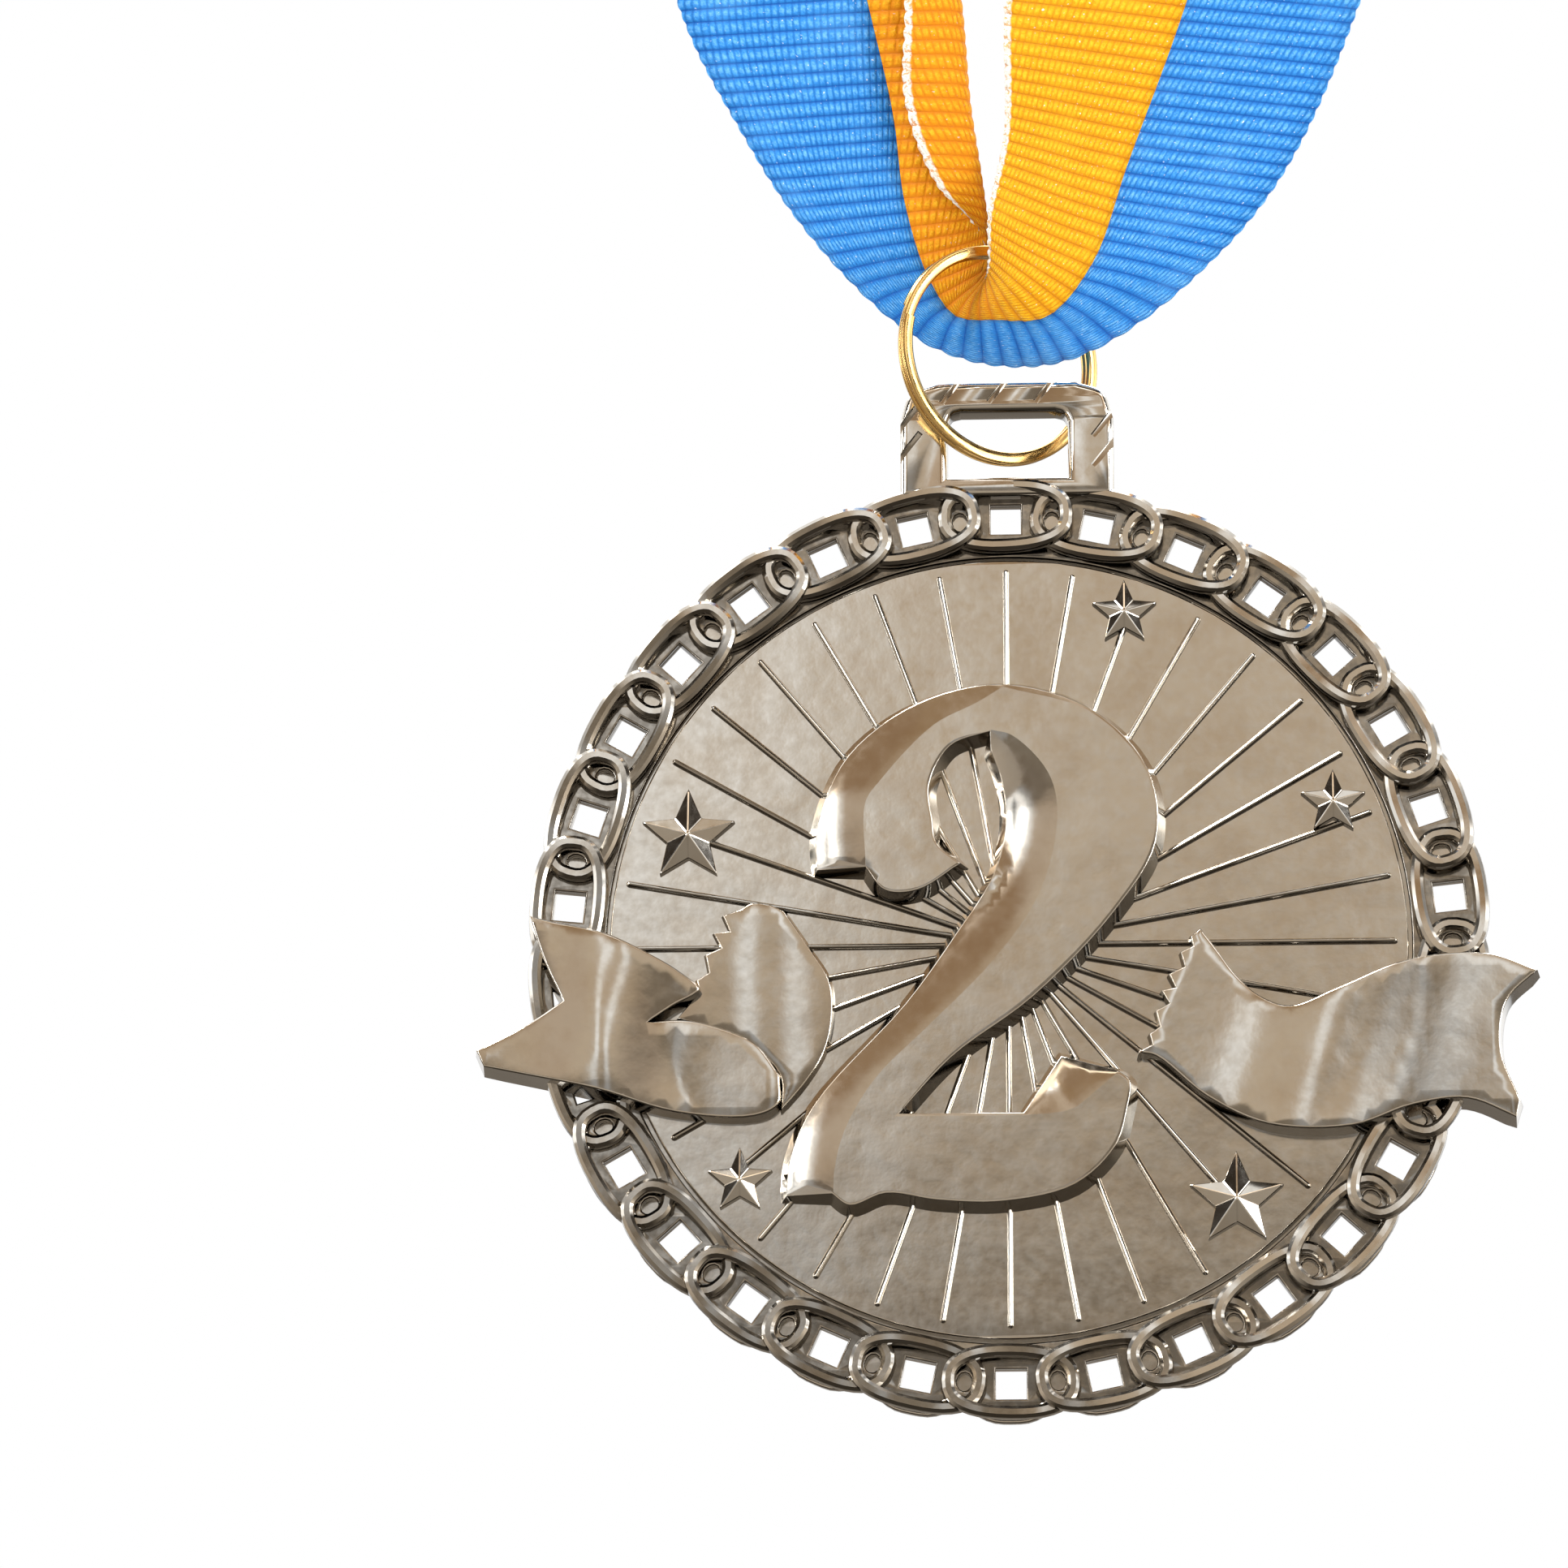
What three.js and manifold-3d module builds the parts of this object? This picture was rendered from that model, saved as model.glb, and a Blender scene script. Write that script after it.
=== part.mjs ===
// Round medal on a split ring and a two-colour neck ribbon.
// Units are millimetres. +Z is up, the medal's face looks along -Y and its flat back along +Y.
import * as THREE from 'three';
import { mergeVertices } from 'three/addons/utils/BufferGeometryUtils.js';
import Module from 'manifold-3d';

const wasm = await Module();
wasm.setup();

// The part is laid out about the medal's centre, then moved so that the origin is where the
// ribbon's inner face rests on the back of the neck.
const NECK_POINT = new THREE.Vector3(0, 119.2, 308);

// Casting: depths are measured forwards from the flat back.
const BACK_Y = 1.5;
const FIELD_DEPTH = 1.6;
const RAY_HEIGHT = 0.35;
const RAY_COUNT = 36;
const RAY_WIDTH = 0.42;
const RAY_END = 26.0;
const DISC_RADIUS = 26.7;
const CHAIN_INNER = 26.95;
const CHAIN_OUTER = 32.2;
const CHAIN_BASE_DEPTH = 2.2;
const CHAIN_DEPTH = 2.9;
const LINK_COUNT = 30;
const LINK_RADIUS = 29.75;
const LINK_HOLE = 2.1;
const FEATURE_GAP = 0.3;
const NUMERAL_DEPTH = 2.7;
const NUMERAL_FACE_DEPTH = 3.1;
const BANNER_DEPTH = 3.3;

// Split ring: two coils of one wire, its plane turned about the vertical.
const RING_CENTRE = new THREE.Vector3(-0.5, 0, 41.3);
const RING_RADIUS = 7.2;
const RING_BAND = 0.85;
const COIL_THICKNESS = 0.46;
const COIL_PITCH = 0.5;
const RING_TURN = THREE.MathUtils.degToRad(32);

// Ribbon: 24 mm wide in two 12 mm stripes.
const RIBBON_THICKNESS = 0.5;
const STRIPE_GAP = 0.1;

const V = (x, y, z) => new THREE.Vector3(x, y, z);

// ---- solids ---------------------------------------------------------------------------------
function toManifold(geometry) {
  const bare = geometry.clone();
  bare.deleteAttribute('normal');
  bare.deleteAttribute('uv');
  const merged = mergeVertices(bare.index ? bare.toNonIndexed() : bare, 1e-4);
  return new wasm.Manifold(new wasm.Mesh({
    numProp: 3,
    vertProperties: new Float32Array(merged.attributes.position.array),
    triVerts: new Uint32Array(merged.index.array),
  }));
}

function toGeometry(solid) {
  const mesh = solid.getMesh();
  const geometry = new THREE.BufferGeometry();
  geometry.setAttribute('position', new THREE.BufferAttribute(new Float32Array(mesh.vertProperties), 3));
  geometry.setIndex(new THREE.BufferAttribute(new Uint32Array(mesh.triVerts), 1));
  return geometry;
}

// A prism of an outline drawn in the medal's face (x to the right, z up), between two depths.
function prism(shape, fromDepth, toDepth, curveSegments = 6) {
  const geometry = new THREE.ExtrudeGeometry(shape, {
    depth: toDepth - fromDepth, bevelEnabled: false, curveSegments,
  });
  geometry.rotateX(Math.PI / 2);
  geometry.translate(0, BACK_Y - fromDepth, 0);
  return toManifold(geometry);
}

function circleShape(radius, x = 0, z = 0) {
  return new THREE.Shape().absarc(x, z, radius, 0, 2 * Math.PI, false);
}

function outline(points) {
  return new THREE.Shape(points.map(([x, z]) => new THREE.Vector2(x, z)));
}

// An outline made of stretches: each is a list of points, smooth inside and sharp at its ends.
function smoothOutline(stretches) {
  const shape = new THREE.Shape();
  shape.moveTo(...stretches[0][0]);
  for (const stretch of stretches) {
    const rest = stretch.slice(1).map(([x, z]) => new THREE.Vector2(x, z));
    if (rest.length > 1) shape.splineThru(rest);
    else shape.lineTo(rest[0].x, rest[0].y);
  }
  return shape;
}

function ring(inner, outer, fromDepth, toDepth, segments) {
  return prism(circleShape(outer), fromDepth, toDepth, segments)
    .subtract(prism(circleShape(inner), fromDepth - 1, toDepth + 1, segments));
}

// ---- outlines on the medal's face -------------------------------------------------------------
function numeralOutline() {
  const shape = smoothOutline([
    [[-12.8, 5.1], [-12.2, 10.6], [-8.5, 15.1], [-3.1, 17.4], [2.8, 17.2], [8.0, 14.2], [10.1, 8.9],
      [8.9, 4], [4.4, -1], [-0.7, -5.6], [-6.3, -10.3], [-7.3, -11.8]],
    [[-7.3, -11.8], [1.1, -11.8]],
    [[1.1, -11.8], [3.5, -7.8]],
    [[3.5, -7.8], [7.3, -9]],
    [[7.3, -9], [8.1, -9.7], [7.1, -14.1], [4.4, -16.7], [-0.2, -17.8], [-7.1, -17.3], [-10.9, -18], [-11.8, -17.2]],
    [[-11.8, -17.2], [-14.9, -17.2]],
    [[-14.9, -17.2], [-13.1, -11.1], [-6.9, -4.2], [-2, 2.7], [-0.1, 8.5], [-1.1, 13.2]],
    [[-1.1, 13.2], [-1.1, 14.4]],
    [[-1.1, 14.4], [-3.8, 13.4], [-5.2, 10.8], [-4.7, 6.7], [-3.1, 5.3]],
    [[-3.1, 5.3], [-6, 3.6], [-8.9, 4], [-9.5, 5.1]],
    [[-9.5, 5.1], [-12.8, 5.1]],
  ]);
  return shape;
}

function numeralFaceOutline() {
  return smoothOutline([
    [[-9.1, 5.6], [-8.5, 11.1], [-4.9, 14.9], [0.4, 14.2]],
    [[0.4, 14.2], [3, 10.8], [2.5, 4.5], [-3.1, -3.5], [-8.9, -9.4], [-11.2, -16.4]],
    [[-11.2, -16.4], [-13.9, -16.4]],
    [[-13.9, -16.4], [-12.4, -10.6], [-6.1, -3.6], [-1.2, 3.3], [0.5, 8.6], [-0.4, 13.4]],
    [[-0.4, 13.4], [-4.6, 13.6], [-6, 10.9], [-5.4, 6.4]],
    [[-5.4, 6.4], [-9.1, 5.6]],
  ]);
}

function leftBannerOutline() {
  return smoothOutline([
    [[-32.1, 2], [-27.2, 0.7], [-22, -1.9], [-20.5, -3.3]],
    [[-20.5, -3.3], [-24.1, -5.4]],
    [[-24.1, -5.4], [-20.5, -5.4], [-17, -6.8], [-15.3, -9]],
    [[-15.3, -9], [-15.4, -11]],
    [[-15.4, -11], [-17, -11.8], [-22.3, -11.5], [-29.7, -9.4], [-35.1, -8.3]],
    [[-35.1, -8.3], [-35.6, -7.2]],
    [[-35.6, -7.2], [-29.8, -3.9]],
    [[-29.8, -3.9], [-32.1, 2]],
  ]);
}

function leftFoldOutline() {
  return outline([[-20.1, -3.3], [-19.5, -1.2], [-18.7, -0.6], [-18.6, 1], [-17.4, 2.7], [-15, 2.3],
    [-13.4, -0.1], [-12.1, -2.4], [-12, -4.7], [-12.5, -7.2], [-13.6, -9.4], [-14.9, -10.8], [-14.9, -8.9],
    [-16.7, -6.4], [-20.4, -4.9], [-22.3, -4.8]]);
}

function rightBannerOutline() {
  return smoothOutline([
    [[12.9, 0.6], [14.2, -1.1], [16.7, -3.9], [20.5, -4.3], [26.7, -1.7], [31.9, -1.3], [35.3, -2.5]],
    [[35.3, -2.5], [33.2, -4.6], [32.8, -8], [34, -11.4]],
    [[34, -11.4], [33.6, -12.5]],
    [[33.6, -12.5], [28.6, -11.2], [22.8, -13], [17.3, -12.8], [13.2, -10.8], [8.6, -7.8]],
    [[8.6, -7.8], [9.1, -6]],
    [[9.1, -6], [10.1, -4.6]],
    [[10.1, -4.6], [9.5, -3]],
    [[9.5, -3], [10.7, -2.8]],
    [[10.7, -2.8], [10.6, -0.8]],
    [[10.6, -0.8], [12.1, -1.6]],
    [[12.1, -1.6], [12.9, 0.6]],
  ]);
}

const STARS = {
  star_top: [8, 22.9, 2.3],
  star_upper_right: [21.9, 9.5, 2.3],
  star_upper_left: [-21.5, 7.7, 3.3],
  star_lower_left: [-18, -16, 2.3],
  star_lower_right: [15.1, -17.6, 3.3],
};

function starOutline(x, z, radius) {
  const points = [];
  for (let i = 0; i < 10; i += 1) {
    const r = i % 2 ? radius * 0.45 : radius;
    const angle = Math.PI / 2 + (i * Math.PI) / 5;
    points.push([x + r * Math.cos(angle), z + r * Math.sin(angle)]);
  }
  return points;
}

// A faceted star: a low wall round its outline and ten facets up to one point.
function starSolid(x, z, radius) {
  const rim = starOutline(x, z, radius);
  const bottom = BACK_Y - FIELD_DEPTH;
  const top = bottom - 0.35;
  const triangles = [];
  rim.forEach(([ax, az], i) => {
    const [bx, bz] = rim[(i + 1) % rim.length];
    triangles.push([[ax, top, az], [bx, top, bz], [x, bottom - 0.35 * radius, z]]);
    triangles.push([[ax, bottom, az], [bx, bottom, bz], [bx, top, bz]]);
    triangles.push([[ax, bottom, az], [bx, top, bz], [ax, top, az]]);
    triangles.push([[bx, bottom, bz], [ax, bottom, az], [x, bottom, z]]);
  });
  const geometry = new THREE.BufferGeometry();
  geometry.setAttribute('position', new THREE.Float32BufferAttribute(triangles.flat(2), 3));
  return mergeVertices(geometry, 1e-4);
}

// ---- casting ------------------------------------------------------------------------------------
// What stands on the field, grown so that the rays stop just short of it.
function featurePrisms(fromDepth, toDepth) {
  const shapes = [numeralOutline(), leftBannerOutline(), leftFoldOutline(), rightBannerOutline()];
  const solids = shapes.map((shape) => prism(shape, fromDepth, toDepth));
  for (const [x, z, radius] of Object.values(STARS)) {
    solids.push(prism(outline(starOutline(x, z, radius + 2 * FEATURE_GAP)), fromDepth, toDepth));
  }
  return solids;
}

function grown(solid) {
  const steps = [[1, 0], [0.7, 0.7], [0, 1], [-0.7, 0.7], [-1, 0], [-0.7, -0.7], [0, -1], [0.7, -0.7]];
  return steps.reduce(
    (all, [x, z]) => all.add(solid.translate([x * FEATURE_GAP, 0, z * FEATURE_GAP])), solid);
}

function medalDisc() {
  let rays = prism(circleShape(1.2), 0.8, FIELD_DEPTH + RAY_HEIGHT, 8);
  for (let i = 0; i < RAY_COUNT; i += 1) {
    const angle = (i * 2 * Math.PI) / RAY_COUNT;
    const bar = new THREE.Shape();
    const half = RAY_WIDTH / 2;
    bar.moveTo(0.6, -half);
    bar.lineTo(RAY_END - half, -half);
    bar.absarc(RAY_END - half, 0, half, -Math.PI / 2, Math.PI / 2, false);
    bar.lineTo(0.6, half);
    const turned = outline(bar.getPoints(3).map((p) => [
      p.x * Math.cos(angle) - p.y * Math.sin(angle), p.x * Math.sin(angle) + p.y * Math.cos(angle)]));
    rays = rays.add(prism(turned, 0.8, FIELD_DEPTH + RAY_HEIGHT));
  }
  for (const solid of featurePrisms(FIELD_DEPTH, 6)) rays = rays.subtract(grown(solid));
  return toGeometry(prism(circleShape(DISC_RADIUS), 0, FIELD_DEPTH, 60).add(rays));
}

function ellipse(long, wide, segments) {
  const points = [];
  for (let i = 0; i < segments; i += 1) {
    const t = (i * 2 * Math.PI) / segments;
    points.push([long * Math.cos(t), wide * Math.sin(t)]);
  }
  return points;
}

// Places an outline drawn about the origin on the chain's circle, its x along the circle.
function onChain(points, step) {
  const angle = Math.PI / 2 - (step * 2 * Math.PI) / LINK_COUNT;
  const c = Math.cos(angle);
  const s = Math.sin(angle);
  return outline(points.map(([x, z]) => [(LINK_RADIUS + z) * c + x * s, (LINK_RADIUS + z) * s - x * c]));
}

function chainBorder() {
  let chain = ring(CHAIN_INNER, CHAIN_OUTER - 0.3, 0, CHAIN_BASE_DEPTH, 60);
  const half = LINK_HOLE / 2;
  const square = [[-half, -half], [half, -half], [half, half], [-half, half]];
  const keep = ring(CHAIN_INNER, CHAIN_OUTER + 0.4, -1, 4, 60);
  for (let i = 0; i < LINK_COUNT; i += 1) {
    const depth = i % 2 ? CHAIN_DEPTH : CHAIN_DEPTH - 0.3;
    const link = prism(onChain(ellipse(4.1, 2.75, 16), i), 0, depth)
      .subtract(prism(onChain(ellipse(2.5, 1.35, 8), i), CHAIN_BASE_DEPTH, 5));
    chain = chain.add(link);
  }
  for (let i = 0; i < LINK_COUNT; i += 1) {
    chain = chain.subtract(prism(onChain(square, i), -1, 5));
    chain = chain.subtract(prism(onChain(ellipse(0.5, 0.7, 8), i + 0.5), 1.4, 5));
  }
  return toGeometry(chain.intersect(keep));
}

// The hanger: a rectangular eye with rounded shoulders and rope notches, standing on the rim.
function hangerLoop() {
  const frame = new THREE.Shape();
  frame.moveTo(-7.1, 28);
  frame.lineTo(-7.1, 36.6);
  frame.absarc(-4.6, 36.6, 2.5, Math.PI, Math.PI / 2, true);
  frame.lineTo(4.9, 39.1);
  frame.absarc(4.9, 36.6, 2.5, Math.PI / 2, 0, true);
  frame.lineTo(7.4, 28);
  let hanger = prism(frame, 0.3, 2.7, 4);
  hanger = hanger.subtract(prism(outline([[-3.9, 33], [4.3, 33], [4.3, 37], [-3.9, 37]]), -1, 4));
  hanger = hanger.subtract(prism(circleShape(CHAIN_OUTER + 0.7), -1, 4, 60));
  const notch = (x, z) => outline([[x - 0.9, z - 1.1], [x - 0.45, z - 1.1], [x + 0.9, z + 1.1], [x + 0.45, z + 1.1]]);
  for (const [x, z] of [[-3.4, 38.9], [-0.1, 38.9], [3.2, 38.9], [-6.6, 34.4], [-6.6, 36.6], [6.9, 34.4], [6.9, 36.6]]) {
    hanger = hanger.subtract(prism(notch(x, z), 2.3, 4));
  }
  return toGeometry(hanger);
}

function numeralTwo() {
  const body = prism(numeralOutline(), FIELD_DEPTH, NUMERAL_DEPTH);
  const face = prism(numeralFaceOutline(), NUMERAL_DEPTH - 0.4, NUMERAL_FACE_DEPTH);
  return toGeometry(body.add(face.intersect(prism(numeralOutline(), 0, 5))));
}

// A banner: its front rises and falls in waves along x; where it lies over the chain it rests on it.
function banner(shape, height, waves) {
  const [left, right] = [-37, 37];
  const profile = new THREE.Shape();
  const steps = 40;
  profile.moveTo(left, 0);
  for (let i = 0; i <= steps; i += 1) {
    const x = left + ((right - left) * i) / steps;
    profile.lineTo(x, height + 0.25 * Math.sin(x * waves));
  }
  profile.lineTo(right, 0);
  // The profile is drawn as (x, depth) and swept along z.
  const geometry = new THREE.ExtrudeGeometry(profile, { depth: 40, bevelEnabled: false });
  geometry.rotateX(Math.PI);
  geometry.translate(0, BACK_Y, 20);
  const wavy = toManifold(geometry);
  const underRim = ring(DISC_RADIUS - FEATURE_GAP, CHAIN_OUTER + 0.7, -1, CHAIN_DEPTH, 60);
  const underField = prism(circleShape(DISC_RADIUS), -1, FIELD_DEPTH, 60);
  return prism(shape, 0.5, 5).intersect(wavy).subtract(underRim).subtract(underField);
}

// ---- split ring -------------------------------------------------------------------------------
function splitRing() {
  const steps = 120;
  const turns = 2;
  const corners = [];
  for (let i = 0; i < 8; i += 1) {
    const t = ((i + 0.5) * Math.PI) / 4;
    corners.push([(RING_BAND / 2) * Math.cos(t) * 1.05, (COIL_THICKNESS / 2) * Math.sin(t) * 1.05]);
  }
  const positions = [];
  const index = [];
  for (let i = 0; i <= steps; i += 1) {
    const angle = 2.9 + (i / steps) * (turns * 2 * Math.PI - 0.12);
    // Each end of the wire lies flat on the other coil, and the wire crosses over between them.
    const swing = THREE.MathUtils.smoothstep(i / steps, 0.42, 0.58) - 0.5;
    for (const [radial, axial] of corners) {
      const r = RING_RADIUS + radial;
      positions.push(r * Math.cos(angle), axial + swing * COIL_PITCH, r * Math.sin(angle));
    }
  }
  const n = corners.length;
  for (let i = 0; i < steps; i += 1) {
    for (let j = 0; j < n; j += 1) {
      const a = i * n + j;
      const b = i * n + ((j + 1) % n);
      index.push(a, b, a + n, b, b + n, a + n);
    }
  }
  for (let j = 1; j < n - 1; j += 1) {
    index.push(0, j + 1, j);
    const last = steps * n;
    index.push(last, last + j, last + j + 1);
  }
  const geometry = new THREE.BufferGeometry();
  geometry.setAttribute('position', new THREE.Float32BufferAttribute(positions, 3));
  geometry.setIndex(index);
  geometry.rotateZ(RING_TURN);
  geometry.translate(RING_CENTRE.x, RING_CENTRE.y, RING_CENTRE.z);
  return geometry;
}

// ---- ribbon -------------------------------------------------------------------------------------
// Each station lists points across the ribbon: blue selvedge, colour line, fold, flap, yellow selvedge.
// The run starts at the back of the neck, comes over the left shoulder, down through the split ring,
// up the right side and back to the neck, where its two ends lap and are sewn.
function neckStation(x, y, z, across) {
  const centre = V(x, y, z);
  const at = (t) => centre.clone().addScaledVector(across, t);
  return [at(-12), at(0), at(4), at(8), at(12)];
}

function leftNeck() {
  return [
    neckStation(10, 119.5, 308, V(0, 0, 1)),
    neckStation(-10, 119.2, 308, V(0, 0, 1)),
    neckStation(-34, 109, 307, V(-0.05, 0.05, 1).normalize()),
    neckStation(-57, 82, 304, V(0.1, 0.1, 1).normalize()),
    neckStation(-67, 45, 296, V(0.4, 0.1, 0.9).normalize()),
    neckStation(-65, 13, 274, V(0.75, 0.1, 0.62).normalize()),
    neckStation(-57, 1.5, 244, V(0.95, 0, 0.28).normalize()),
    neckStation(-44, 0.6, 198, V(0.965, 0, 0.26).normalize()),
    neckStation(-30, 0.6, 145, V(0.965, 0, 0.26).normalize()),
    [V(-27.5, 0.8, 87), V(-15, 0.8, 92), V(-9.5, 0.8, 94), V(-6.3, -0.4, 95), V(-8.5, -1.2, 94)],
  ];
}

function rightNeck() {
  return [
    [V(30, -0.8, 86), V(19, -0.8, 90), V(14.6, -0.8, 91.5), V(10.5, -0.8, 93), V(6.5, -0.8, 94.5)],
    neckStation(33, -0.6, 145, V(-0.965, 0, 0.26).normalize()),
    neckStation(45, -0.6, 198, V(-0.965, 0, 0.26).normalize()),
    neckStation(57, 1.5, 244, V(-0.95, 0, 0.28).normalize()),
    neckStation(65, 13, 274, V(-0.75, 0.1, 0.62).normalize()),
    neckStation(67, 45, 296, V(-0.4, 0.1, 0.9).normalize()),
    neckStation(57, 82, 304, V(-0.1, 0.1, 1).normalize()),
    neckStation(34, 109.5, 307, V(0.05, 0.05, 1).normalize()),
    neckStation(10, 120.4, 308, V(0, 0, 1)),
    neckStation(-10, 120.5, 308, V(0, 0, 1)),
  ];
}

function throughRing() {
  return [
    [V(-21.9, 0.9, 66), V(-9.2, 0.9, 66.6), V(-3.6, 0.9, 67), V(-3.1, -0.7, 67), V(-6.6, -0.9, 67)],
    [V(-18.2, 0.9, 58.4), V(-7.6, 0.9, 59), V(-2.9, 0.9, 59.2), V(-2.5, -0.7, 59.2), V(-6.6, -0.9, 59.4)],
    [V(-14.4, 0.9, 52), V(-6.8, 0.9, 52.6), V(-3, 0.9, 53), V(-2.2, 0.1, 53.2), V(-3.6, -0.6, 53.4)],
    [V(-9.4, 1, 46), V(-5.2, 1, 47.2), V(-3.4, 1, 48), V(-2.3, 1, 48.6), V(-1.6, 1.1, 49.2)],
    [V(-4.4, 0.5, 42.4), V(-3, 0.5, 43.8), V(-2.4, 0.5, 44.8), V(-2, 0.5, 45.6), V(-1.7, 0.5, 46.4)],
    [V(0.3, -0.2, 41), V(0, -0.2, 43.4), V(-0.1, -0.2, 44.4), V(-0.2, -0.2, 45.2), V(-0.3, -0.2, 46)],
    [V(5, -0.9, 41.4), V(3.4, -0.9, 44), V(2.4, -0.9, 45.2), V(1.6, -0.9, 46.1), V(0.9, -0.9, 46.9)],
    [V(12, -1.2, 45.6), V(5.8, -1.2, 47.6), V(3.6, -1.2, 48.6), V(2, -1.2, 49.6), V(0.4, -1.2, 50.8)],
    [V(18.6, -1, 53), V(8.6, -1, 54.6), V(5.6, -1, 55.4), V(3, -1, 56.2), V(0.2, -1, 57)],
    [V(24.5, -0.9, 66), V(13.1, -0.9, 67.4), V(8.9, -0.9, 68), V(4.7, -0.9, 68.5), V(0.5, -0.9, 69)],
  ];
}

// The stations of some columns, evened out along the run by a smooth curve through each column.
function ribbonGrid(columns, steps) {
  const stations = [...leftNeck(), ...throughRing(), ...rightNeck()];
  const curves = columns.map((column) => new THREE.CatmullRomCurve3(
    stations.map((station) => column(station)), false, 'centripetal'));
  const rows = [];
  for (let i = 0; i <= steps; i += 1) rows.push(curves.map((curve) => curve.getPoint(i / steps)));
  return rows;
}

function surfaceNormals(rows) {
  return rows.map((row, i) => row.map((point, j) => {
    const before = rows[Math.max(i - 1, 0)][j];
    const after = rows[Math.min(i + 1, rows.length - 1)][j];
    const along = after.clone().sub(before).normalize();
    const across = row[Math.min(j + 1, row.length - 1)].clone().sub(row[Math.max(j - 1, 0)]).normalize();
    return along.cross(across).normalize();
  }));
}

// A strip with thickness: two skins offset from the grid, closed round all four edges.
function stripSolid(rows, thickness) {
  const normals = surfaceNormals(rows);
  const across = rows[0].length;
  const loop = rows.map((row, i) => {
    const front = row.map((p, j) => p.clone().addScaledVector(normals[i][j], thickness / 2));
    const back = row.map((p, j) => p.clone().addScaledVector(normals[i][j], -thickness / 2));
    return [...front, ...back.reverse()];
  });
  const n = 2 * across;
  const index = [];
  for (let i = 0; i < rows.length - 1; i += 1) {
    for (let j = 0; j < n; j += 1) {
      const a = i * n + j;
      const b = i * n + ((j + 1) % n);
      index.push(a, a + n, b, b, a + n, b + n);
    }
  }
  const last = (rows.length - 1) * n;
  for (let j = 0; j < across - 1; j += 1) {
    const k = n - 1 - j;
    index.push(j, j + 1, k, j + 1, k - 1, k);
    index.push(last + j, last + k, last + j + 1, last + j + 1, last + k, last + k - 1);
  }
  const geometry = new THREE.BufferGeometry();
  geometry.setAttribute('position', new THREE.Float32BufferAttribute(loop.flat().flatMap((p) => p.toArray()), 3));
  geometry.setIndex(index);
  return geometry;
}

function between(a, b, t) {
  return (station) => station[a].clone().lerp(station[b], t);
}

const blueColumns = [between(0, 1, 0), between(0, 1, 0.5), between(0, 1, 1 - STRIPE_GAP / 12)];
const yellowColumns = [between(1, 2, STRIPE_GAP / 4), between(1, 2, 1), between(2, 3, 1), between(3, 4, 1)];

// A zigzag seam laid on the outer end of the lap.
function seamThread() {
  const geometries = [];
  const count = 13;
  const points = [];
  for (let i = 0; i <= count; i += 1) {
    points.push(V(i % 2 ? -8.5 : -6.3, 121.1, 298 + (20 * i) / count));
  }
  const half = 0.16;
  for (let i = 0; i < count; i += 1) {
    const [a, b] = [points[i], points[i + 1]];
    const bar = new THREE.BoxGeometry(a.distanceTo(b) + 2 * half, 2 * half, 2 * half);
    bar.rotateY(-Math.atan2(b.z - a.z, b.x - a.x));
    bar.translate((a.x + b.x) / 2, a.y, (a.z + b.z) / 2);
    geometries.push(toManifold(bar));
  }
  return toGeometry(geometries.reduce((all, solid) => all.add(solid)));
}

// ---- assembly -----------------------------------------------------------------------------------
const material = (color, roughness, metalness) => () => new THREE.MeshStandardMaterial({ color, roughness, metalness });
const nickel = material(0xb0a088, 0.3, 1);
const brass = material(0xd8a850, 0.25, 1);
const blue = material(0x3f97ee, 0.75, 0);
const yellow = material(0xf0a808, 0.75, 0);
const thread = material(0xe8e4d8, 0.8, 0);

const group = new THREE.Group();
group.name = 'medal_on_ribbon';

function addPart(name, geometry, makeMaterial) {
  const mesh = new THREE.Mesh(geometry, makeMaterial());
  mesh.name = name;
  geometry.translate(-NECK_POINT.x, -NECK_POINT.y, -NECK_POINT.z);
  geometry.computeVertexNormals();
  group.add(mesh);
}

addPart('ribbon_blue', stripSolid(ribbonGrid(blueColumns, 130), RIBBON_THICKNESS), blue);
addPart('ribbon_yellow', stripSolid(ribbonGrid(yellowColumns, 130), RIBBON_THICKNESS), yellow);
addPart('seam_thread', seamThread(), thread);
addPart('split_ring', splitRing(), brass);
addPart('medal_disc', medalDisc(), nickel);
addPart('chain_border', chainBorder(), nickel);
addPart('hanger_loop', hangerLoop(), nickel);
addPart('numeral_two', numeralTwo(), nickel);
const leftBanner = banner(leftBannerOutline(), BANNER_DEPTH, 0.7);
addPart('banner_left', toGeometry(leftBanner), nickel);
const leftFold = banner(leftFoldOutline(), BANNER_DEPTH - 0.5, 0.9);
addPart('banner_left_fold', toGeometry(leftFold.subtract(grown(leftBanner)).subtract(
  grown(prism(numeralOutline(), 0, 5)))), nickel);
addPart('banner_right', toGeometry(banner(rightBannerOutline(), BANNER_DEPTH, 0.55).subtract(
  grown(prism(numeralOutline(), 0, 5)))), nickel);
for (const [name, [x, z, radius]] of Object.entries(STARS)) addPart(name, starSolid(x, z, radius), nickel);

export default group;
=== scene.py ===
"""Round medal on a split ring and a two-colour neck ribbon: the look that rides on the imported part."""
import math

import bmesh
import bpy
import numpy as np
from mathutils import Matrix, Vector
from mathutils.geometry import delaunay_2d_cdt


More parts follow.
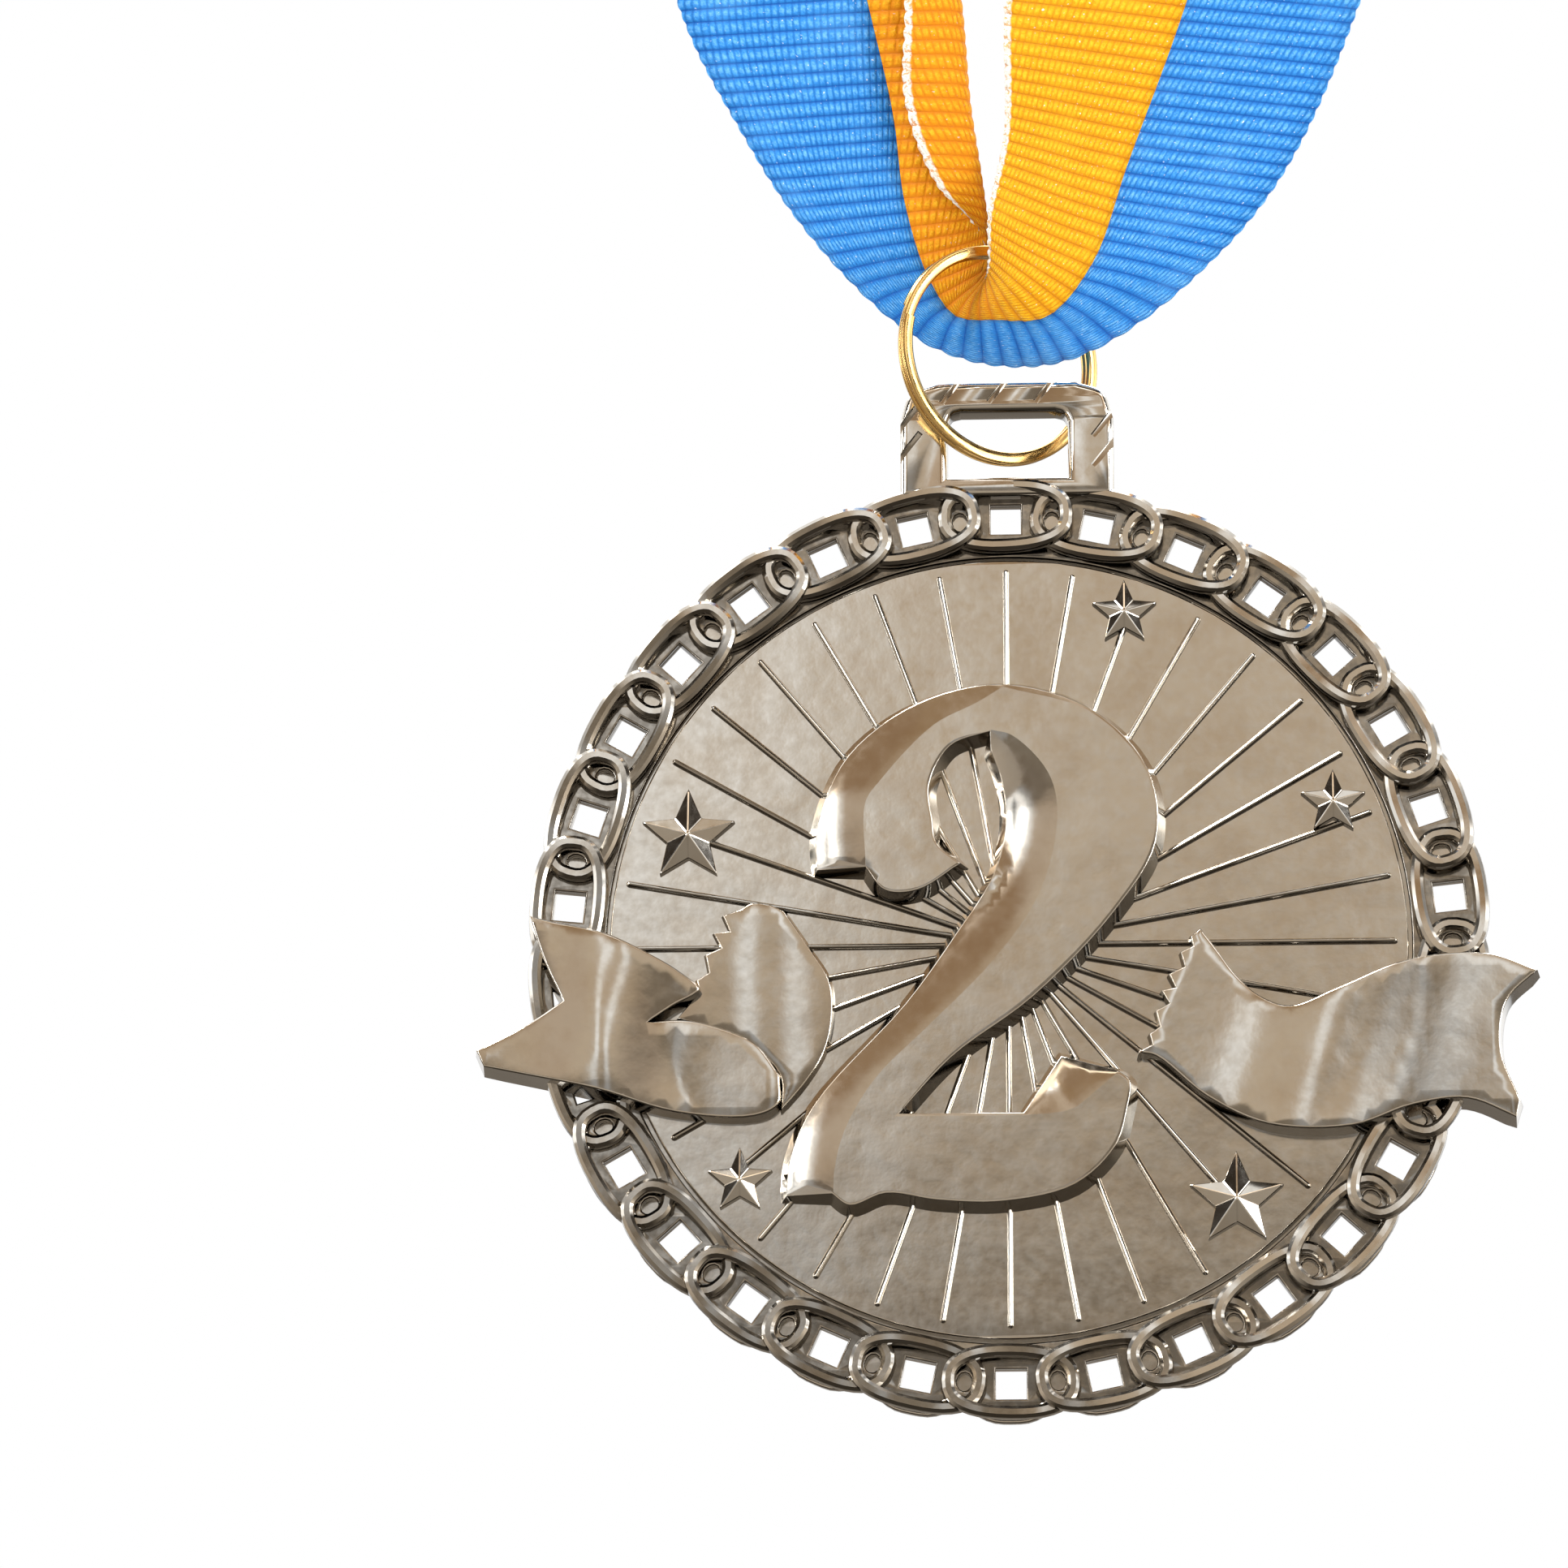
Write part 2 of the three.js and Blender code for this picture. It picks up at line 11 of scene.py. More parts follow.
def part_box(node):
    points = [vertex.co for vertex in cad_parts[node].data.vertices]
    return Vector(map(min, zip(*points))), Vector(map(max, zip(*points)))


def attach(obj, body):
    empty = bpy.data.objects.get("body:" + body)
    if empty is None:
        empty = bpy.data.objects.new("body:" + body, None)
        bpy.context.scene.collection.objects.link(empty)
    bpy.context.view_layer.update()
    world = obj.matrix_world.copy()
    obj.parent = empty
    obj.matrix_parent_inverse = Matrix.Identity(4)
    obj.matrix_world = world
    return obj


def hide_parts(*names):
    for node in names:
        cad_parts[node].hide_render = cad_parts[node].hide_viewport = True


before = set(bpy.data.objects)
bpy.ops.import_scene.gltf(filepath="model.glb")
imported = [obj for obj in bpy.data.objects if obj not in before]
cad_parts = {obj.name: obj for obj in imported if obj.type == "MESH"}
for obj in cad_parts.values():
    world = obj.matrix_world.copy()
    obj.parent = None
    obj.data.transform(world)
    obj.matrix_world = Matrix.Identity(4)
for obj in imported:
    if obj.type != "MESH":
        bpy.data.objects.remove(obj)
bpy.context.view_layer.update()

MM = 0.001

# The medal's centre and flat back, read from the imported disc; the drawing below is about this centre.
DISC_LOW, DISC_HIGH = (Vector(corner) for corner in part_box("medal_disc"))
CENTRE = (DISC_LOW + DISC_HIGH) / 2
BACK = DISC_HIGH.y
MID_PLANE = BACK - 1.5 * MM

# Depths forward of the flat back, in mm.
FIELD = 1.6
CHAIN_PLATE = 1.35
CHAIN_TOP = 2.75
NUMERAL_EDGE = 2.0
NUMERAL_FACE = 3.3
BANNER = 3.25
BANNER_FOOT = 0.8
RIM_RADIUS = 32.4
DISC_RADIUS = 26.8
LINKS = 30
LINK_RADIUS = 29.75
RAYS = 36
RAY_END = 26.1
# Raised features start this far inside the field, so that no gap shows under them.
SINK = 0.1
FEATURE_FOOT = FIELD - SINK


def at(x, depth, z):
    """A point drawn in mm on the medal's face, at a depth forward of its back, in the row frame."""
    return Vector((CENTRE.x + x * MM, BACK - depth * MM, CENTRE.z + z * MM))


def add_mesh(name, vertices, faces, material, smooth=True):
    mesh = bpy.data.meshes.new(name)
    mesh.from_pydata([tuple(v) for v in vertices], [], faces)
    mesh.validate()
    mesh.update()
    for polygon in mesh.polygons:
        polygon.use_smooth = smooth
    obj = bpy.data.objects.new(name, mesh)
    bpy.context.scene.collection.objects.link(obj)
    if material:
        mesh.materials.append(material)
    return obj


def edit_mesh(obj, *steps):
    """Runs steps on an object's mesh, each a function of a bmesh."""
    work = bmesh.new()
    work.from_mesh(obj.data)
    for step in steps:
        step(work)
    work.to_mesh(obj.data)
    work.free()
    return obj


def face_outward(work):
    bmesh.ops.recalc_face_normals(work, faces=work.faces)


def weld(work):
    bmesh.ops.remove_doubles(work, verts=work.verts, dist=1e-6)


def drop_loose_points(work):
    bmesh.ops.delete(work, geom=[v for v in work.verts if not v.link_faces], context="VERTS")


def outward(obj):
    """Turns every face of a closed mesh to point out."""
    return edit_mesh(obj, face_outward)


def select(objects):
    """Selects only these objects, the first of them active."""
    bpy.ops.object.select_all(action="DESELECT")
    for obj in objects:
        obj.select_set(True)
    bpy.context.view_layer.objects.active = objects[0]


def as_mesh(curve_object, material):
    """Turns a curve object into a mesh object of one material."""
    select([curve_object])
    bpy.ops.object.convert(target="MESH")
    made = bpy.context.view_layer.objects.active
    made.data.materials.clear()
    made.data.materials.append(material)
    return made


def join(name, parts):
    """Joins meshes into one object."""
    select(parts)
    bpy.ops.object.join()
    parts[0].name = name
    parts[0].data.name = name
    return parts[0]


def apply_modifiers(obj):
    bpy.context.view_layer.objects.active = obj
    for modifier in list(obj.modifiers):
        bpy.ops.object.modifier_apply(modifier=modifier.name)
    return obj


def rounded(obj, width_mm, segments=2, angle=30):
    bevel = obj.modifiers.new("bevel", "BEVEL")
    bevel.width = width_mm * MM
    bevel.segments = segments
    bevel.limit_method = "ANGLE"
    bevel.angle_limit = math.radians(angle)
    bevel.use_clamp_overlap = True
    bevel.face_strength_mode = "FSTR_AFFECTED"
    return apply_modifiers(obj)


def sharp_shading(obj, angle=35):
    """Smooth shading that keeps creases sharper than the angle."""
    select([obj])
    bpy.ops.object.shade_smooth_by_angle(angle=math.radians(angle))
    apply_modifiers(obj)
    weighted = obj.modifiers.new("flats", "WEIGHTED_NORMAL")
    weighted.keep_sharp = True
    weighted.weight = 90
    weighted.use_face_influence = True
    return apply_modifiers(obj)


def tube_faces(rings, sides, closed=False):
    """Quads between the neighbouring rings of a tube, with both ends capped unless it closes on itself."""
    faces = []
    for i in range(rings if closed else rings - 1):
        this, after = i * sides, (i + 1) % rings * sides
        for k in range(sides):
            j = (k + 1) % sides
            faces.append([this + k, this + j, after + j, after + k])
    if not closed:
        faces.append(list(range(sides)))
        faces.append([(rings - 1) * sides + k for k in reversed(range(sides))])
    return faces


def fuller(value, power):
    """A sine or cosine pushed away from zero by a power under 1, which squares a round section a little."""
    return math.copysign(abs(value) ** power, value)


# ---- curves through points --------------------------------------------------------------------
def spline(points, count):
    """A centripetal Catmull-Rom curve through points, sampled count times evenly by parameter."""
    p = np.array(points, float)
    p = np.vstack([2 * p[0] - p[1], p, 2 * p[-1] - p[-2]])
    steps = np.sqrt(np.maximum(np.linalg.norm(np.diff(p, axis=0), axis=1), 1e-9))
    t = np.concatenate([[0], np.cumsum(steps)])
    out = []
    spans = len(points) - 1
    for u in np.linspace(0, spans, count):
        i = min(int(u), spans - 1)
        t0, t1, t2, t3 = t[i:i + 4]
        s = t1 + (u - i) * (t2 - t1)
        p0, p1, p2, p3 = p[i:i + 4]
        a1 = ((t1 - s) * p0 + (s - t0) * p1) / (t1 - t0)
        a2 = ((t2 - s) * p1 + (s - t1) * p2) / (t2 - t1)
        a3 = ((t3 - s) * p2 + (s - t2) * p3) / (t3 - t2)
        b1 = ((t2 - s) * a1 + (s - t0) * a2) / (t2 - t0)
        b2 = ((t3 - s) * a2 + (s - t1) * a3) / (t3 - t1)
        out.append(((t2 - s) * b1 + (s - t1) * b2) / (t2 - t1))
    return np.array(out)


def outline(stretches, per_span=6):
    """A closed outline from stretches of points, smooth inside each stretch and sharp where they meet."""
    loop = []
    for stretch in stretches:
        if len(stretch) == 2:
            loop.append(stretch[0])
        else:
            loop.extend(map(tuple, spline(stretch, per_span * (len(stretch) - 1) + 1)[:-1]))
    return loop


# ---- outlines on the medal's face, in mm from its centre ----------------------------------------
NUMERAL = outline([
    [(-12.8, 5.1), (-12.8, 8.1), (-10.7, 13), (-6, 16.5), (-0.2, 17.7), (5.7, 15.9), (9.5, 11.7), (10, 6.7),
     (7.1, 1.8), (1.7, -3.9), (-3.8, -8), (-7.3, -11.8)],
    [(-7.3, -11.8), (1, -11.8)],
    [(1, -11.8), (3.5, -7.8)],
    [(3.5, -7.8), (7.3, -9)],
    [(7.3, -9), (8.1, -9.7), (7.9, -11.6), (7.1, -14.1), (4.4, -16.7), (-0.2, -17.8), (-4.7, -17.7),
     (-8.2, -17.2), (-10.6, -18), (-11.8, -17.2)],
    [(-11.8, -17.2), (-14.9, -17.2)],
    [(-14.9, -17.2), (-14.6, -14.5), (-13.1, -11.1), (-6.9, -4.2), (-3.4, 0.8), (-0.9, 4.8), (-0.1, 8.5),
     (-0.4, 11.2), (-1.1, 13.2)],
    [(-1.1, 13.2), (-1.1, 14.4)],
    [(-1.1, 14.4), (-3.8, 13.4), (-5.2, 10.8), (-5, 8.4), (-4.7, 6.7), (-3.1, 5.3)],
    [(-3.1, 5.3), (-6, 3.5), (-8.2, 3.5), (-9.5, 5.1)],
    [(-9.5, 5.1), (-12.8, 5.1)],
])
# The numeral's flat front: a broad bevel lies left of it on the bowl and another left of it on the stem.
NUMERAL_FLAT = outline([
    [(-9.5, 5.2), (-9.5, 9.6), (-8.5, 11.1), (-4.9, 14.9), (-2, 16.4), (-0.2, 17.5)],
    [(-0.2, 17.5), (5.6, 15.7), (9.3, 11.6), (9.8, 6.8), (6.9, 1.9), (1.5, -3.7), (-3.9, -7.8),
     (-7.6, -12)],
    [(-7.6, -12), (1.1, -12)],
    [(1.1, -12), (4.2, -11.6), (5.8, -10.4), (7.2, -9.2)],
    [(7.2, -9.2), (7.9, -9.8), (7.7, -11.6), (6.9, -14), (4.3, -16.5), (-0.2, -17.6), (-4.7, -17.5),
     (-8.2, -17), (-10.6, -17.8), (-11.7, -17.1)],
    [(-11.7, -17.1), (-11.6, -15.4), (-10.9, -12.8), (-8.9, -9.4), (-5.2, -5.7), (-0.9, -1.3), (2.2, 3.3),
     (3.4, 8.5), (2.8, 11.5), (0.4, 14.1), (-1, 14.5)],
    [(-1, 14.5), (-3.9, 13.6), (-5.4, 10.8), (-5.2, 8.4), (-4.9, 6.7), (-3.4, 5.3)],
    [(-3.4, 5.3), (-6, 3.7), (-8.2, 3.7), (-9.5, 5.2)],
])


def torn(start, end, teeth, depth):
    """A torn edge: a zigzag of uneven teeth from start to end, on its left side."""
    (ax, az), (bx, bz) = start, end
    length = math.hypot(bx - ax, bz - az)
    nx, nz = -(bz - az) / length, (bx - ax) / length
    points = [start]
    for i in range(1, 2 * teeth):
        f = (i + 0.22 * math.sin(5.1 * i)) / (2 * teeth)
        d = depth * (0.75 + 0.3 * math.sin(2.7 * i + 1)) if i % 2 else 0.0
        points.append((ax + (bx - ax) * f + nx * d, az + (bz - az) * f + nz * d))
    points.append(end)
    return [[a, b] for a, b in zip(points, points[1:])]


LEFT_BANNER = outline([
    [(-32.1, 2), (-30.5, 1.6), (-27.2, 0.8), (-24.4, -0.5), (-22, -1.9), (-20.7, -3.1), (-22.5, -4.3),
     (-24.1, -5.4)],
    [(-24.1, -5.4), (-22.3, -5.2), (-20.5, -5.4), (-17, -6.8), (-15.3, -9)],
    [(-15.3, -9), (-15.4, -11), (-17, -11.8), (-22.3, -11.5), (-27.6, -10), (-35.1, -8.3)],
    [(-35.1, -8.3), (-35.6, -7.2)],
    [(-35.6, -7.2), (-32.4, -5.6), (-29.8, -3.9)],
    [(-29.8, -3.9), (-31, -1.3), (-32.1, 2)],
])
LEFT_FOLD = outline([
    *torn((-20.7, -3.1), (-17.9, 2.5), 4, 0.9),
    [(-17.9, 2.5), (-17.2, 2.9), (-16, 2.8), (-15, 2.3)],
    [(-15, 2.3), (-13.4, -0.1), (-12, -2.4), (-11.8, -4.7), (-12.3, -7.2), (-13.6, -9.4), (-15.2, -11.3)],
    [(-15.2, -11.3), (-15.3, -8.9), (-18, -6.4), (-22.2, -4.9)],
    [(-22.2, -4.9), (-20.7, -3.1)],
])
RIGHT_BANNER = outline([
    [(12.9, 0.7), (14.2, -1.1), (15.2, -2.5), (16.7, -3.9), (18.8, -4.7), (21.9, -3.6), (26.7, -1.7),
     (31.9, -1.3), (35.3, -2.5)],
    [(35.3, -2.5), (33.2, -4.6), (32.8, -8), (34, -11.3)],
    [(34, -11.3), (33.7, -12.5)],
    [(33.7, -12.5), (30.5, -11.2), (26.9, -11.6), (22.8, -13), (17.3, -12.8), (13.2, -10.8), (9.8, -8),
     (8.6, -7.8)],
    [(8.6, -7.8), (9.6, -7.2)],
    *torn((9.6, -7.2), (12.9, 0.7), 6, 0.8),
])
STARS = {
    "star_top": (8, 22.9, 2.3),
    "star_upper_right": (21.9, 9.5, 2.3),
    "star_upper_left": (-21.5, 7.7, 3.3),
    "star_lower_left": (-18, -16, 2.3),
    "star_lower_right": (15.1, -17.6, 3.3),
}


# ---- materials ----------------------------------------------------------------------------------
def linear(r, g, b):
    """A colour given in sRGB 0 to 255, as the linear values that a shader takes."""
    def one(c):
        c /= 255
        return c / 12.92 if c <= 0.04045 else ((c + 0.055) / 1.055) ** 2.4
    return one(r), one(g), one(b), 1.0


WALL_SHADE = linear(24, 20, 15)
HOLLOW_SHADE = linear(46, 40, 33)
# Depths in mm between which the border's hollows lie: shading starts and is full, is full and ends.
HOLLOW_STARTS, HOLLOW_ENDS = (0.85, 1.0), (1.36, 1.5)


class Nodes:
    """Short calls for building a material's nodes."""

    def __init__(self, name):
        self.material = bpy.data.materials.new(name)
        self.material.use_nodes = True
        self.tree = self.material.node_tree
        self.shader = next(n for n in self.tree.nodes if n.type == "BSDF_PRINCIPLED")

    def add(self, kind, **values):
        node = self.tree.nodes.new(kind)
        for key, value in values.items():
            setattr(node, key, value)
        return node

    def link(self, out, into):
        self.tree.links.new(out, into)

    def coordinates(self, which):
        return self.add("ShaderNodeTexCoord").outputs[which]

    def noise(self, vector, scale, detail=3.0, roughness=0.5):
        node = self.add("ShaderNodeTexNoise")
        node.inputs["Scale"].default_value = scale
        node.inputs["Detail"].default_value = detail
        node.inputs["Roughness"].default_value = roughness
        self.link(vector, node.inputs["Vector"])
        return node.outputs["Fac"]

    def spread(self, value, low, high, to_low, to_high):
        node = self.add("ShaderNodeMapRange")
        for socket, number in zip(("From Min", "From Max", "To Min", "To Max"), (low, high, to_low, to_high)):
            node.inputs[socket].default_value = number
        self.link(value, node.inputs["Value"])
        return node.outputs["Result"]

    def mix(self, factor, a, b):
        node = self.add("ShaderNodeMix", data_type="RGBA")
        self.link(factor, node.inputs[0])
        for socket, colour in ((node.inputs[6], a), (node.inputs[7], b)):
            if isinstance(colour, tuple):
                socket.default_value = colour
            else:
                self.link(colour, socket)
        return node.outputs[2]

    def maths(self, operation, a, b=None):
        node = self.add("ShaderNodeMath", operation=operation)
        for socket, value in zip(node.inputs, (a, b)):
            if value is None:
                continue
            if isinstance(value, (int, float)):
                socket.default_value = value
            else:
                self.link(value, socket)
        return node.outputs[0]

    def bump(self, height, strength, distance_mm, below=None):
        node = self.add("ShaderNodeBump")
        node.inputs["Strength"].default_value = strength
        node.inputs["Distance"].default_value = distance_mm * MM
        self.link(height, node.inputs["Height"])
        if below is not None:
            self.link(below, node.inputs["Normal"])
        return node.outputs["Normal"]


def metal(name, colour, stain, roughness, unevenness, wall_painted_shade, hollow_painted_shade=0.0):
    """Plated metal: slow mottling in colour and gloss, the slight unevenness of a casting, and painted shade
    on walls that face down and, where given, in the border's hollows.
    """
    n = Nodes(name)
    place = n.coordinates("Object")
    mottle = n.noise(place, 260, 6, 0.6)
    speckle = n.noise(place, 1500, 2)
    plated = n.mix(n.spread(mottle, 0.42, 0.7, 0, 0.5), colour, stain)
    # Walls that face down get painted shade: it stands in for the dark surroundings that such walls mirror.
    facing = n.add("ShaderNodeSeparateXYZ")
    n.link(n.coordinates("Normal"), facing.inputs[0])
    wall = n.spread(facing.outputs[2], -0.6, -0.2, wall_painted_shade, 0)
    shaded = n.mix(wall, plated, WALL_SHADE)
    if hollow_painted_shade:
        # The bottoms of the border's hollows get painted shade too, in patches, for the same reason.
        depth = n.add("ShaderNodeSeparateXYZ")
        n.link(place, depth.inputs[0])
        sunk = n.maths("SUBTRACT", BACK / MM, n.maths("DIVIDE", depth.outputs[1], MM))
        ended = n.spread(sunk, *HOLLOW_ENDS, hollow_painted_shade, 0)
        hollow = n.maths("MULTIPLY", ended, n.spread(sunk, *HOLLOW_STARTS, 0, 1))
        patchy = n.maths("MULTIPLY", hollow, n.spread(speckle, 0.35, 0.6, 0.6, 1))
        shaded = n.mix(patchy, shaded, HOLLOW_SHADE)
    n.link(shaded, n.shader.inputs["Base Color"])
    n.link(n.spread(speckle, 0.3, 0.75, roughness * 0.8, roughness * 1.5), n.shader.inputs["Roughness"])
    n.shader.inputs["Metallic"].default_value = 1.0
    slow = n.bump(n.noise(place, 190, 2), unevenness, 0.25)
    fine = n.bump(speckle, unevenness * 0.45, 0.05, slow)
    n.link(fine, n.shader.inputs["Normal"])
    return n.material


# The weave, in mm: its ribs, the threads that cross them, and where the painted shade on the left strand and
# the selvedge lie.
RIB_PITCH = 1.06
WARP_PITCH = 0.46
LEFT_SHADE_STARTS, LEFT_SHADE_ENDS = (-110, -60), (-4, 0)
SELVEDGE = (11.5, 11.62)
PALE_FIBRE = linear(226, 232, 232)
SELVEDGE_WHITE = linear(236, 232, 220)


def shaded_left_strand(n, left_strand_shade, along, uneven, colour):
    """Painted shade: the cloth is darker where it comes down to the ring on the left."""
    strand = n.maths("MULTIPLY", n.spread(along, *LEFT_SHADE_STARTS, 0, 0.7), n.spread(along, *LEFT_SHADE_ENDS, 1, 0))
    amount = n.maths("MULTIPLY", strand, n.spread(uneven, 0.3, 1.1, 1, 0.4))
    return n.mix(amount, colour, left_strand_shade)


def white_selvedge(n, across, fibres, colour):
    edge = n.maths("MULTIPLY", n.spread(across, *SELVEDGE, 0, 1), n.spread(fibres, 0.4, 0.5, 0.2, 1))
    return n.mix(edge, colour, SELVEDGE_WHITE)


def cloth(name, colour, groove_shade_and_tone, light, left_strand_shade):
    """Ribbed ribbon. Its UVs are millimetres across it and along it from the ring; its last colour is the
    painted shade on its left strand.
    """
    n = Nodes(name)
    place = n.coordinates("UV")
    split = n.add("ShaderNodeSeparateXYZ")
    n.link(place, split.inputs[0])
    across, along = split.outputs[0], split.outputs[1]
    step = n.maths("DIVIDE", along, RIB_PITCH)
    rib = n.maths("ABSOLUTE", n.maths("SINE", n.maths("MULTIPLY", step, math.pi)))
    # Short warp floats lean over each rib, and the next rib's floats are shifted by half a thread.
    shift = n.maths("MULTIPLY", n.maths("FLOOR", step), 0.5)
    lean = n.maths("MULTIPLY", n.maths("FRACT", step), 0.45)
    thread = n.maths("ADD", n.maths("DIVIDE", across, WARP_PITCH), n.maths("ADD", shift, lean))
    warp = n.maths("ABSOLUTE", n.maths("SINE", n.maths("MULTIPLY", thread, math.pi)))
    strand = n.noise(place, 2.6, 3, 0.7)
    wear = n.noise(place, 0.22, 2)
    weave = n.maths("MULTIPLY", n.maths("POWER", rib, 0.6), n.spread(warp, 0, 0.8, 0.5, 1))
    uneven = n.maths("MULTIPLY", weave, n.spread(strand, 0.25, 0.75, 0.55, 1.35))
    # Painted shade and painted highlight on the weave: the dark colour fills its grooves and the light colour
    # its crests, mixed with random tone from the strands; below, the light colour also marks real wear in
    # broad patches.
    base = n.mix(n.spread(uneven, 0.12, 0.75, 0, 1), groove_shade_and_tone, colour)
    lit = n.mix(n.spread(uneven, 0.72, 1.15, 0, 0.9), base, light)
    worn = n.mix(n.spread(wear, 0.5, 0.75, 0, 0.2), lit, light)
    specks = n.spread(n.noise(place, 4.2, 1), 0.7, 0.76, 0, 0.8)
    seen = n.mix(n.maths("MULTIPLY", specks, weave), worn, PALE_FIBRE)
    # Painted shade on the left strand, then the white selvedge.
    if left_strand_shade:
        seen = white_selvedge(n, across, strand, shaded_left_strand(n, left_strand_shade, along, uneven, seen))
    n.link(seen, n.shader.inputs["Base Color"])
    n.shader.inputs["Roughness"].default_value = 0.6
    n.shader.inputs["Specular IOR Level"].default_value = 0.15
    n.shader.inputs["Sheen Weight"].default_value = 0.05
    n.shader.inputs["Sheen Roughness"].default_value = 0.4
    rough = n.bump(strand, 0.3, 0.1)
    n.link(n.bump(uneven, 0.8, 0.16, rough), n.shader.inputs["Normal"])
    return n.material


def thread_material():
    n = Nodes("sewing_thread")
    fibres = n.noise(n.coordinates("Object"), 6000, 2)
    n.link(n.mix(fibres, linear(240, 238, 228), linear(205, 200, 186)), n.shader.inputs["Base Color"])
    n.shader.inputs["Roughness"].default_value = 0.8
    n.link(n.bump(fibres, 0.4, 0.05), n.shader.inputs["Normal"])
    return n.material


FLOOR_PALE = (0.86, 0.86, 0.86, 1)
FLOOR_GRAIN = (0.9, 0.9, 0.9, 1)
FLOOR_MIRRORED = (0.34, 0.29, 0.23, 1)


def paper_material():
    n = Nodes("pale_floor")
    grain = n.noise(n.coordinates("Object"), 40, 4)
    pale = n.mix(grain, FLOOR_PALE, FLOOR_GRAIN)
    # Polished metal mirrors a tan floor, as it mirrors a tan room; everything else sees the pale one.
    mirrored = n.add("ShaderNodeLightPath").outputs["Is Glossy Ray"]
    n.link(n.mix(mirrored, pale, FLOOR_MIRRORED), n.shader.inputs["Base Color"])
    n.shader.inputs["Roughness"].default_value = 0.9
    return n.material


# Both metals get painted shade on walls that face down, and the nickel also in the border's hollows.
NICKEL = metal("nickel_plating", colour=linear(228, 223, 214), stain=linear(204, 188, 166), roughness=0.1,
               unevenness=0.12, wall_painted_shade=0.95, hollow_painted_shade=0.55)
BRASS = metal("polished_brass", colour=linear(226, 188, 120), stain=linear(180, 136, 72), roughness=0.16,
              unevenness=0.06, wall_painted_shade=0.5)
BLUE = cloth("ribbon_blue_weave", colour=linear(48, 134, 208), groove_shade_and_tone=linear(12, 82, 160),
             light=linear(112, 180, 236), left_strand_shade=None)
# The yellow's last colour is painted shade where it comes down to the ring on the left.
YELLOW = cloth("ribbon_yellow_weave", colour=linear(226, 158, 6), groove_shade_and_tone=linear(192, 118, 2),
               light=linear(244, 192, 40), left_strand_shade=linear(206, 114, 4))
THREAD = thread_material()
PAPER = paper_material()


# ---- casting --------------------------------------------------------------------------------------
def plate(name, loops, from_depth, to_depth, bevel_mm):
    """A flat plate with a rounded edge, from an outer loop and its holes."""
    curve = bpy.data.curves.new(name, "CURVE")
    curve.dimensions = "2D"
    curve.fill_mode = "BOTH"
    curve.extrude = ((to_depth - from_depth) / 2 - bevel_mm) * MM
    curve.bevel_depth = bevel_mm * MM
    curve.offset = -bevel_mm * MM
    curve.bevel_resolution = 2
    for loop in loops:
        line = curve.splines.new("POLY")
        line.points.add(len(loop) - 1)
        for point, (x, z) in zip(line.points, loop):
            point.co = (x * MM, z * MM, 0, 1)
        line.use_cyclic_u = True
    obj = bpy.data.objects.new(name, curve)
    bpy.context.scene.collection.objects.link(obj)
    obj.rotation_euler = (math.pi / 2, 0, 0)
    obj.location = at(0, (from_depth + to_depth) / 2, 0)
    made = as_mesh(obj, NICKEL)
    bpy.context.view_layer.update()
    made.data.transform(made.matrix_world)
    made.matrix_world.identity()
    return edit_mesh(made, weld, face_outward)


def inside(point, loop):
    x, z = point
    hit = False
    for (ax, az), (bx, bz) in zip(loop, loop[1:] + loop[:1]):
        if (az > z) != (bz > z) and x < (bx - ax) * (z - az) / (bz - az) + ax:
            hit = not hit
    return hit


def nearest(point, loop):
    """Distance from a point to a closed polyline."""
    p = np.array(point)
    a = np.array(loop)
    b = np.roll(a, -1, axis=0)
    ab = b - a
    t = np.clip(((p - a) * ab).sum(1) / np.maximum((ab ** 2).sum(1), 1e-12), 0, 1)
    return float(np.linalg.norm(a + ab * t[:, None] - p, axis=1).min())


def directed_border(faces):
    """The edges that only one face has, in that face's direction."""
    used = {(a, b) for f in faces for a, b in zip(f, f[1:] + f[:1])}
    return [(a, b) for a, b in sorted(used) if (b, a) not in used]


def outward_slides(points, edges):
    """For each point of directed counterclockwise edges, the unit direction that leads out of the shape."""
    slides = {}
    for a, b in edges:
        along = (points[b] - points[a]).normalized()
        for i in (a, b):
            slides[i] = slides.get(i, Vector((0, 0))) + Vector((along.y, -along.x))
    return {i: v.normalized() for i, v in slides.items()}


def counterclockwise(loop):
    area = sum(ax * bz - bx * az for (ax, az), (bx, bz) in zip(loop, loop[1:] + loop[:1]))
    return list(loop) if area > 0 else list(reversed(loop))


# Rings round a relief's edge: how far out and how far below the front, as shares of its softness.
EDGE_RINGS = ((0, 0), (0.38, 0.08), (0.71, 0.29), (0.92, 0.62), (1, 1))


def triangulated(loop, creases, grid_mm):
    """Points and faces that fill a loop: a grid inside it, its rim, and the creases kept as edges."""
    points = list(loop)
    edges = [(i, (i + 1) % len(loop)) for i in range(len(loop))]
    for crease in creases:
        start = len(points)
        points.extend(crease)
        edges.extend((start + i, start + (i + 1) % len(crease)) for i in range(len(crease)))
    xs, zs = zip(*loop)
    for x in np.arange(min(xs), max(xs), grid_mm):
        for z in np.arange(min(zs), max(zs), grid_mm):
            if inside((x, z), loop) and min(nearest((x, z), c) for c in (loop, *creases)) > 0.6 * grid_mm:
                points.append((float(x), float(z)))
    flat, _, faces, *_ = delaunay_2d_cdt([Vector(p) for p in points], edges, [], 0, 1e-5)

    def middle(face):
        return sum(flat[i].x for i in face) / len(face), sum(flat[i].y for i in face) / len(face)
    return flat, [f for f in faces if inside(middle(f), loop)]


